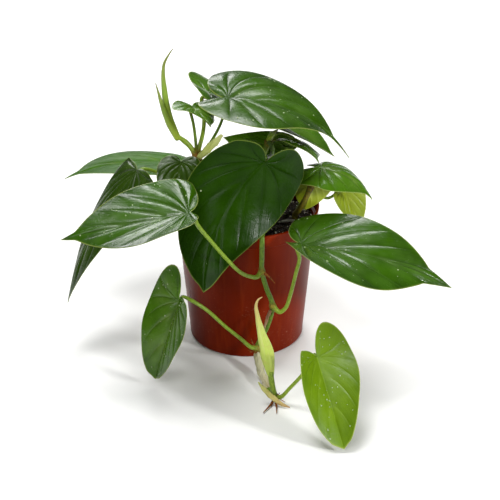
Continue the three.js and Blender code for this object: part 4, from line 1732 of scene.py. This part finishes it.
    def rootlets(self, knot: Knot, count: int, reach: float, random: np.random.Generator) -> list[Limb]:
        """Makes fine roots that wander out of a knot.

        Args:
            knot: where they grow.
            count: how many there are.
            reach: about how long they are.
            random: draws their directions.

        Returns:
            The roots.
        """
        made = []
        lowest = (-np.inf, -np.inf, 0.6)
        start = np.array(knot.centre)
        for _ in range(count):
            way = unit(random.normal(size=3) * (1, 0.7, 0.5) + (0, -0.8, -0.1))
            end = start + way * reach * random.uniform(0.6, 1.0)
            middle = (start + end) / 2 + random.normal(size=3) * 0.9
            route = tuple(tuple(np.maximum(point, lowest)) for point in (start, middle, end))
            made.append(Limb(route, (0.5, 0.4, 0.22), 0.3, 1.0))
        return made

    def lines(self, stem: Stem) -> Mesh:
        """Makes the lines that a stem's limbs are swept along.

        Args:
            stem: the stem.

        Returns:
            A mesh of lines, with the values that the sweep and the finish read.
        """
        points, edges = [], []
        values: dict[str, list[Array]] = {"thickness": [], "tone": [], "brown": [], "along": []}
        start = 0
        for limb in stem.limbs:
            line = smooth_line(limb.route, self.spacing)
            share = np.linspace(0, 1, len(line))
            radius = np.interp(share, np.linspace(0, 1, len(limb.radii)), limb.radii)
            brown = np.full(len(line), limb.brown)
            for knot in stem.knots:
                distance = np.linalg.norm(line - knot.centre, axis=1)
                if radius.max() > 1:
                    radius = radius + knot.swell * bell(distance, knot.reach)
                brown = np.maximum(brown, knot.brown * bell(distance, knot.reach * 1.5))
            points.append(line)
            edges += [(start + i, start + i + 1) for i in range(len(line) - 1)]
            start += len(line)
            reach = share * np.linalg.norm(np.diff(line, axis=0), axis=1).sum() / self.flow_length
            tone = np.full(len(line), limb.tone)
            for kept, value in zip(values.values(), (radius * MM, tone, brown, reach)):
                kept.append(value)
        mesh = bpy.data.meshes.new(stem.node)
        mesh.from_pydata((np.vstack(points) * MM).tolist(), edges, [])
        put_values(mesh, **{name: np.concatenate(value) for name, value in values.items()})
        return mesh

    def build(self) -> None:
        """Makes every stem."""
        sweep = SweepTree()
        material = StemSkin().material()
        random = np.random.default_rng(self.rootlet_seed)
        for stem in (self.trailing(), self.crown(), self.rear(), self.right(), self.left()):
            if stem.node == "trailing_stem":
                extra = [
                    limb
                    for knot, (count, reach) in zip(stem.knots, self.ROOTLETS)
                    for limb in self.rootlets(knot, count, reach, random)
                ]
                stem = Stem(stem.node, (*stem.limbs, *extra), stem.knots)
            mesh = sweep.run(self.lines(stem), Sides=self.sides, Groove=self.groove, Material=material)
            put_flow(mesh, flow_of(mesh))
            Piece.finish(stem.node + "_limbs", mesh, material, [stem.node], "stem")


def flow_of(mesh: Mesh) -> Array:
    """Reads the coordinates along and around a swept mesh.

    Args:
        mesh: the mesh, on which the sweep has stored them.

    Returns:
        Both coordinates for each vertex.
    """
    columns = []
    for name in ("along", "around"):
        numbers = np.zeros(len(mesh.vertices), np.float32)
        mesh.attributes[name].data.foreach_get("value", numbers)
        columns.append(numbers)
    return np.stack(columns, axis=1)


@dataclass(frozen=True)
class Strip:
    """One limb of a sheath: its route, its radii, the way in which it isn't squeezed, and how flat it is."""

    route: tuple[Point, ...]
    radii: tuple[float, ...]
    wide: Point = (1.0, 0.2, 0.1)
    flat: float = 1.0


@dataclass(frozen=True)
class Sheath:
    """A bud scale or a sheath: its strips, with low ribs and a wavy surface, its finish and its hairs."""

    node: str
    tone: ScaleTone
    slot: str
    strips: tuple[Strip, ...]
    ribs: float = 0.05
    wrinkles: float = 0.04
    fuzz: float = 0.0


SHEATHS = (
    Sheath(
        "crown_shoot", ScaleTone.CROWN_BUD, "bud_scale",
        (
            Strip(
                ((-57, -1, 185), (-64, 0, 203), (-68, 0, 229), (-68, 0, 252), (-64, 0, 261), (-60, 0, 267)),
                (2.6, 3.3, 3.1, 2.6, 1.9, 1.1, 0.3), (1, 0, 0), 0.75,
            ),
            Strip(
                ((-58, -2, 186), (-65, -3, 202), (-70, -4, 218), (-73, -4, 230), (-75, -4, 238)),
                (2.3, 2.8, 2.4, 1.4, 0.3), (1, 0, 0), 0.7,
            ),
        ),
        wrinkles=0.02,
    ),
    Sheath(
        "crown_sheath", ScaleTone.FUZZY, "papery_sheath",
        (
            Strip(
                ((-40, -5, 170), (-36, -7, 175), (-29, -8, 183), (-20, -9, 193)),
                (2.5, 3.6, 3.8, 1.4), (-0.7, 0, 0.7), 0.35,
            ),
        ),
        wrinkles=0.08, fuzz=1.0,
    ),
    Sheath(
        "rear_bud", ScaleTone.CROWN_BUD, "papery_sheath",
        (Strip(((19, 28, 171), (22, 27, 177), (27, 26, 182)), (2.6, 2.6, 0.6)),),
    ),
    Sheath(
        "trailing_shoot", ScaleTone.TRAIL_BUD, "bud_scale",
        (
            Strip(
                ((20.2, -121, 27), (18.5, -121.5, 40), (16, -122, 54), (12.5, -122, 68), (9.5, -122, 82),
                 (8, -121, 93), (9.5, -120.5, 98), (13, -120, 100.5)),
                (2.9, 5, 6.2, 4.9, 3.3, 2.2, 1.4, 0.4), (1, 0, 0), 0.5,
            ),
        ),
        wrinkles=0.03,
    ),
    Sheath(
        "trailing_papery_sheath", ScaleTone.PAPERY, "papery_sheath",
        (
            Strip(
                ((9.2, -66, 14.5), (10, -71, 10.5), (12.5, -82, 6), (16.5, -97, 4.4), (19.2, -106, 4.3)),
                (3.2, 3.7, 3.7, 3.5, 3.0),
            ),
        ),
        ribs=0.07, wrinkles=0.1,
    ),
    Sheath(
        "trailing_tip_sheath", ScaleTone.TIP, "bud_scale",
        (
            Strip(
                ((10, -123, 21.5), (14.5, -123.5, 15), (20, -124.5, 9.5), (28, -128.5, 4.2), (36, -131, 1.7)),
                (0.6, 2.4, 2.7, 2.2, 0.5), (0.6, 0, 0.8), 0.4,
            ),
        ),
        wrinkles=0.08,
    ),
    Sheath(
        "trailing_dried_sheath", ScaleTone.DRIED, "dried_sheath",
        (Strip(((20, -68.5, 58), (16.5, -69.5, 47), (14.5, -69.5, 37)), (1.6, 1.4, 0.4)),),
        wrinkles=0.15,
    ),
    Sheath(
        "dried_strip", ScaleTone.WEATHERED, "dried_sheath",
        (
            Strip(
                ((27, -10, 111.4), (33, -9, 112.2), (39, -9, 112.8), (43, -10, 113.0)),
                (1.6, 1.9, 1.7, 0.8), (0, 1, 0), 0.4,
            ),
        ),
        wrinkles=0.15,
    ),
)


@dataclass
class Sheaths:
    """The bud scales and sheaths."""

    sides: int = 40
    spacing: float = 0.8
    rib_count: int = 9
    hairs: Bits = Bits(3, 1, (0.05, 0.05, 1.1), 2.2e6, (0.4, 1.0), 3, floor=-0.1)

    def build(self) -> None:
        """Makes every sheath, and the fuzz on those that have it."""
        for number, sheath in enumerate(SHEATHS):
            mesh = self.mesh(sheath, number)
            material = sheath.tone.value.material(sheath.node)
            if sheath.fuzz > 0:
                self.fuzz(mesh.copy(), material, sheath)
            Piece.finish(sheath.node + "_skin", mesh, material, [sheath.node], sheath.slot)

    def mesh(self, sheath: Sheath, number: int) -> Mesh:
        """Makes a sheath's closed ribbed mesh.

        Args:
            sheath: the sheath.
            number: shifts its ribs and waves, so that no two are alike.

        Returns:
            The mesh.
        """
        points, faces, along, around = [], [], [], []
        start = 0
        for strip in sheath.strips:
            line = smooth_line(strip.route, self.spacing)
            share = np.linspace(0, 1, len(line))
            radius = np.interp(share, np.linspace(0, 1, len(strip.radii)), strip.radii)
            tangent = unit(np.gradient(line, axis=0))
            guide = np.array(strip.wide)
            normal = unit(guide - tangent * (tangent @ guide)[:, None])
            binormal = np.cross(tangent, normal)
            turn = np.arange(self.sides) * math.tau / self.sides
            ribs = 1 + sheath.ribs * np.cos(self.rib_count * turn + number) - sheath.ribs
            waves = sheath.wrinkles * np.sin(3 * turn + 14 * share[:, None] + number)
            waves = waves + sheath.wrinkles * 0.6 * np.sin(5 * turn - 31 * share[:, None])
            reach = radius[:, None] * (ribs + waves - sheath.wrinkles)
            ring = (
                line[:, None]
                + normal[:, None] * (reach * np.cos(turn))[..., None]
                + binormal[:, None] * (reach * strip.flat * np.sin(turn))[..., None]
            )
            points.append(np.vstack([ring.reshape(-1, 3), line[:1], line[-1:]]))
            count, sides = len(line), self.sides
            first, last = start + count * sides, start + count * sides + 1
            starts = range(start, first, sides)
            for k in range(sides):
                following = (k + 1) % sides
                faces.append([first, start + following, start + k])
                faces.append([last, starts[-1] + k, starts[-1] + following])
                faces += column(k, sides, starts)
            along.append(np.concatenate([np.repeat(share, sides), (0.0, 1.0)]))
            around.append(np.concatenate([np.tile(np.sin(turn) + 0.4 * np.cos(turn), count), (0.0, 0.0)]))
            start += count * sides + 2
        mesh = build_mesh(sheath.node, np.vstack(points), faces)
        put_values(mesh, along=np.concatenate(along))
        put_flow(mesh, np.stack([np.concatenate(along), np.concatenate(around)], axis=1))
        return mesh

    def fuzz(self, mesh: Mesh, material: Material, sheath: Sheath) -> None:
        """Scatters short hairs over a sheath.

        Args:
            mesh: the sheath's mesh. It is removed.
            material: their material.
            sheath: the sheath.
        """
        put_values(mesh, cover=np.full(len(mesh.vertices), sheath.fuzz))
        hairs = self.hairs.over(mesh, material)
        Piece.finish(sheath.node + "_fuzz", hairs, None, slot=sheath.slot)


# Pot and soil


def arc(centre: Pair, radius: float, start: float, end: float, steps: int) -> list[Pair]:
    """Draws an arc in a profile.

    Args:
        centre: the middle of its circle, as radius and height.
        radius: the circle's radius.
        start: the angle that it starts at, in degrees.
        end: the angle that it ends at, in degrees.
        steps: how many straight steps it has.

    Returns:
        Its points.
    """
    angles = np.radians(np.linspace(start, end, steps + 1))
    return [(centre[0] + radius * math.cos(a), centre[1] + radius * math.sin(a)) for a in angles]


@dataclass
class Pot:
    """The thin nursery pot, with a collar at its rim and drainage holes in its floor."""

    height: float = 124
    rim_radius: float = 62.5
    collar_height: float = 12
    collar_radius: float = 61.5
    body_radius: float = 59.5
    foot_radius: float = 49.5
    foot_height: float = 4
    base_radius: float = 47
    lip_radius: float = 0.75
    foot_round: float = 3.2
    wall: float = 1.6
    floor: float = 2
    sharp_angle: float = 35
    segments: int = 240
    holes: int = 6
    hole_radius: float = 4.5
    hole_circle: float = 33

    def profile(self) -> list[Pair]:
        """Draws the wall's outline.

        Returns:
            Its points from the middle of the underside round to the middle of the floor.
        """
        collar = self.height - self.collar_height
        lip = self.lip_radius
        edge = self.rim_radius - lip
        return [
            (0, 0),
            (self.base_radius - 1, 0),
            *arc((self.base_radius - 0.5, self.foot_round), self.foot_round, -80, -15, 6),
            (self.foot_radius, self.foot_height),
            (self.body_radius - 0.15, collar - 0.9),
            *arc((self.body_radius + 0.9, collar - 0.5), 0.9, 170, 95, 4),
            (self.collar_radius - 0.5, collar + 0.35),
            (self.collar_radius, collar + 0.9),
            (self.rim_radius - 0.3, self.height - 2.4),
            *arc((edge, self.height - lip), lip, -20, 90, 6),
            (self.rim_radius - self.wall, self.height),
            (self.rim_radius - self.wall - 0.3, self.height - 0.5),
            (self.collar_radius - self.wall, collar + self.wall + 0.5),
            (self.body_radius - self.wall, collar + 0.4),
            (self.foot_radius - self.wall, self.foot_height + 1),
            (self.foot_radius - self.wall - 2, self.floor),
            (0, self.floor),
        ]

    def build(self) -> None:
        """Makes the pot and cuts its drainage holes."""
        points, faces = lathe(self.profile(), self.segments)
        body = add_object("pot_body", build_mesh("pot_body", points, faces))
        cutter = add_object("cutter", self.cutters())
        cut = body.modifiers.new("holes", "BOOLEAN")
        cut.operation, cut.object, cut.solver = "DIFFERENCE", cutter, "EXACT"
        evaluated = body.evaluated_get(bpy.context.evaluated_depsgraph_get())
        mesh = bpy.data.meshes.new_from_object(evaluated)
        for made in (body, cutter):
            bpy.data.objects.remove(made)
        mesh.polygons.foreach_set("use_smooth", [True] * len(mesh.polygons))
        mesh.set_sharp_from_angle(angle=math.radians(self.sharp_angle))
        Piece.finish("pot_shell", mesh, PotPlastic().material(), ["pot"], "pot_plastic")

    def cutters(self) -> Mesh:
        """Makes the round bars that cut the holes.

        Returns:
            All the bars as one mesh.
        """
        points, faces = [], []
        low, high = -1, self.floor + 2
        for i in range(self.holes):
            turn = math.tau * (i + 0.5) / self.holes
            bar, sides = lathe([(0, low), (self.hole_radius, low), (self.hole_radius, high), (0, high)], 32)
            bar = bar + (self.hole_circle * math.cos(turn), self.hole_circle * math.sin(turn), 0)
            start = len(points)
            points += bar.tolist()
            faces += [[start + corner for corner in face] for face in sides]
        return build_mesh("cutters", np.array(points), faces)


@dataclass
class SoilBed:
    """The soil that fills the pot, with loose crumbs and perlite on top."""

    pot: Pot
    height: float = 110
    relief: float = 1.1
    gap: float = 0.35
    rings: int = 70
    segments: int = 216
    clods: int = 150
    clod_reach: float = 54
    seed: int = 7
    crumbs: Bits = Bits(6, 2, (1, 0.8, 0.7), 260000, (0.25, 1.1), 8)
    grains: Bits = Bits(7, 3, (1, 0.85, 0.8), 26000, (0.4, 1.3), 9)

    def wall(self, z: float) -> float:
        """Works out the soil's radius, a little inside the pot's wall.

        Args:
            z: the height.

        Returns:
            The radius there.
        """
        pot = self.pot
        share = (z - pot.foot_height) / (pot.height - pot.collar_height - pot.foot_height)
        return pot.foot_radius + (pot.body_radius - pot.foot_radius) * share - pot.wall - self.gap

    def surface(self, x: Array, y: Array, reach: Array) -> Array:
        """Works out the height of the soil: low swells, and small clods drawn at random.

        Args:
            x: places to the right.
            y: places to the rear.
            reach: how far each place is from the pot's axis.

        Returns:
            The height at each place.
        """
        swell = np.sin(x * 0.31 + 1) * np.cos(y * 0.27) + 0.5 * np.sin(x * 0.7 - y * 0.53)
        height = self.height + self.relief * 0.66 * swell
        random = np.random.default_rng(self.seed)
        for _ in range(self.clods):
            angle, distance = random.uniform(0, math.tau), self.clod_reach * math.sqrt(random.uniform())
            width, rise = random.uniform(1.2, 3.4), random.uniform(0.3, 1.3)
            spot = np.hypot(x - distance * math.cos(angle), y - distance * math.sin(angle))
            height = height + rise * bell(spot, width)
        return height - 0.8 * bell(self.wall(self.height) - reach, 1.6)

    def top(self) -> tuple[Array, list[list[int]]]:
        """Works out the soil's upper side.

        Returns:
            Its points, from the outer ring inward, and its faces.
        """
        sides = self.segments
        reach = self.wall(self.height) * np.linspace(1, 0, self.rings, endpoint=False)
        turn = np.arange(sides) * math.tau / sides
        x, y = np.outer(reach, np.cos(turn)), np.outer(reach, np.sin(turn))
        z = self.surface(x, y, np.repeat(reach[:, None], sides, axis=1))
        centre = self.surface(np.zeros(1), np.zeros(1), np.zeros(1))
        points = np.vstack([np.stack([x, y, z], axis=-1).reshape(-1, 3), [(0, 0, centre[0])]])
        faces = []
        starts = range(0, self.rings * sides, sides)
        for k in range(sides):
            faces += column(k, sides, starts)
            faces.append([starts[-1] + k, starts[-1] + (k + 1) % sides, len(points) - 1])
        return points, faces

    def build(self) -> None:
        """Scatters crumbs and perlite on the soil's upper side, and makes its body."""
        points, faces = self.top()
        soil = PottingSoil().material()
        reach = np.linalg.norm(points[:, :2], axis=1)
        cover = np.clip((self.wall(self.height) - 0.6 - reach) / 2, 0, 1)
        for name, bits, material in (
            ("soil_crumbs", self.crumbs, soil),
            ("perlite_grains", self.grains, Perlite().material()),
        ):
            ground = build_mesh(name, points, faces)
            put_values(ground, cover=cover)
            Piece.finish(name, bits.over(ground, material), None, slot="potting_soil")
        self.body(points, faces, soil)

    def body(self, points: Array, faces: list[list[int]], soil: Material) -> None:
        """Closes the upper side with walls and a bottom.

        Args:
            points: the upper side's points, from the outer ring inward.
            faces: its faces, to which the body's are added.
            soil: the soil's material.
        """
        bottom = self.pot.floor + self.gap
        rows = [
            (self.wall(self.height) - 0.05, self.height - 6),
            (self.wall(self.pot.foot_height + 1), self.pot.foot_height + 1),
            (self.wall(bottom) - 2.4, bottom),
        ]
        sides, start = self.segments, len(points)
        turn = np.arange(sides) * math.tau / sides
        walls = [(radius * math.cos(a), radius * math.sin(a), z) for radius, z in rows for a in turn]
        points = np.vstack([points, walls, [(0, 0, bottom)]])
        for k in range(sides):
            following = (k + 1) % sides
            faces.append([following, k, start + k, start + following])
            for high in range(start, start + (len(rows) - 1) * sides, sides):
                faces.append([high + following, high + k, high + sides + k, high + sides + following])
            low = start + (len(rows) - 1) * sides
            faces.append([low + following, low + k, len(points) - 1])
        Piece.finish("soil_bed", build_mesh("soil_bed", points, faces), soil, ["soil"], "potting_soil")


# Studio


@dataclass(frozen=True)
class Softbox:
    """A soft light: where it hangs, where it points, its width and height, and its power in watts."""

    name: str
    place: Point
    target: Point
    size: Pair
    power: float

    def hang(self) -> None:
        """Hangs the light in the scene, turned to where it points."""
        data = bpy.data.lights.new(self.name, "AREA")
        data.shape, data.energy = "RECTANGLE", self.power
        data.size, data.size_y = (side * MM for side in self.size)
        made = add_object(self.name, data)
        made.location = [value * MM for value in self.place]
        way = made.location - type(made.location)([value * MM for value in self.target])
        made.rotation_euler = way.to_track_quat("Z", "Y").to_euler()


LIGHTS = (
    Softbox("key_light", (-250, -150, 1500), (0, 0, 120), (500, 500), 13),
    Softbox("top_light", (60, 830, 1380), (0, 0, 150), (1000, 300), 15),
    Softbox("back_light", (-450, 1350, 680), (0, 0, 150), (900, 400), 7),
    Softbox("front_light", (-500, -1500, 1100), (0, 0, 80), (900, 900), 14),
    Softbox("right_light", (940, -720, 540), (0, 0, 140), (150, 150), 10),
)


@dataclass
class Studio:
    """The pale floor, the soft lights and the camera."""

    camera_place: Point = (3.1, -1440.6, 851.6)
    pitch_down: float = 28.2
    focal_pixels: float = 1883
    image_pixels: float = 500
    sensor: float = 36
    floor_half: float = 6000
    sky_color: Color = (0.95, 0.98, 1.0, 1)
    sky_strength: float = 0.1

    def build(self) -> None:
        """Makes the stage."""
        self.camera()
        self.floor()
        self.sky()
        for light in LIGHTS:
            light.hang()

    def camera(self) -> None:
        """Sets the camera where the photograph was taken from."""
        data = bpy.data.cameras.new("camera")
        data.sensor_width = self.sensor
        data.lens = self.focal_pixels / self.image_pixels * self.sensor
        data.clip_start, data.clip_end = 0.05, 50
        made = add_object("camera", data)
        made.location = [value * MM for value in self.camera_place]
        made.rotation_euler = Euler((math.radians(90 - self.pitch_down), 0, 0))
        bpy.context.scene.camera = made

    def floor(self) -> None:
        """Makes the plain pale floor."""
        half = self.floor_half
        corners = np.array([(-half, -half, 0), (half, -half, 0), (half, half, 0), (-half, half, 0)])
        made = add_object("floor", build_mesh("floor", corners, [(0, 1, 2, 3)], smooth=False))
        made.data.materials.append(PaleFloor().material())

    def sky(self) -> None:
        """Lights the studio evenly from all round."""
        world = bpy.data.worlds.new("studio")
        world.use_nodes = True
        back = world.node_tree.nodes["Background"]
        back.inputs["Color"].default_value = self.sky_color
        back.inputs["Strength"].default_value = self.sky_strength
        bpy.context.scene.world = world
        bpy.context.scene.view_settings.view_transform = "Standard"


def main() -> None:
    """Builds the studio and the plant."""
    logging.basicConfig(level=logging.INFO, format="%(name)s: %(message)s")
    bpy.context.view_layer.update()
    Studio().build()
    pot = Pot()
    foliage = Foliage()
    steps = (
        ("pot", pot.build),
        ("soil", SoilBed(pot).build),
        ("leaves", foliage.build),
        ("stems", Stems(foliage).build),
        ("sheaths", Sheaths().build),
    )
    for name, build in steps:
        build()
        LOG.info("built the %s", name)


if __name__ == "__main__":
    main()
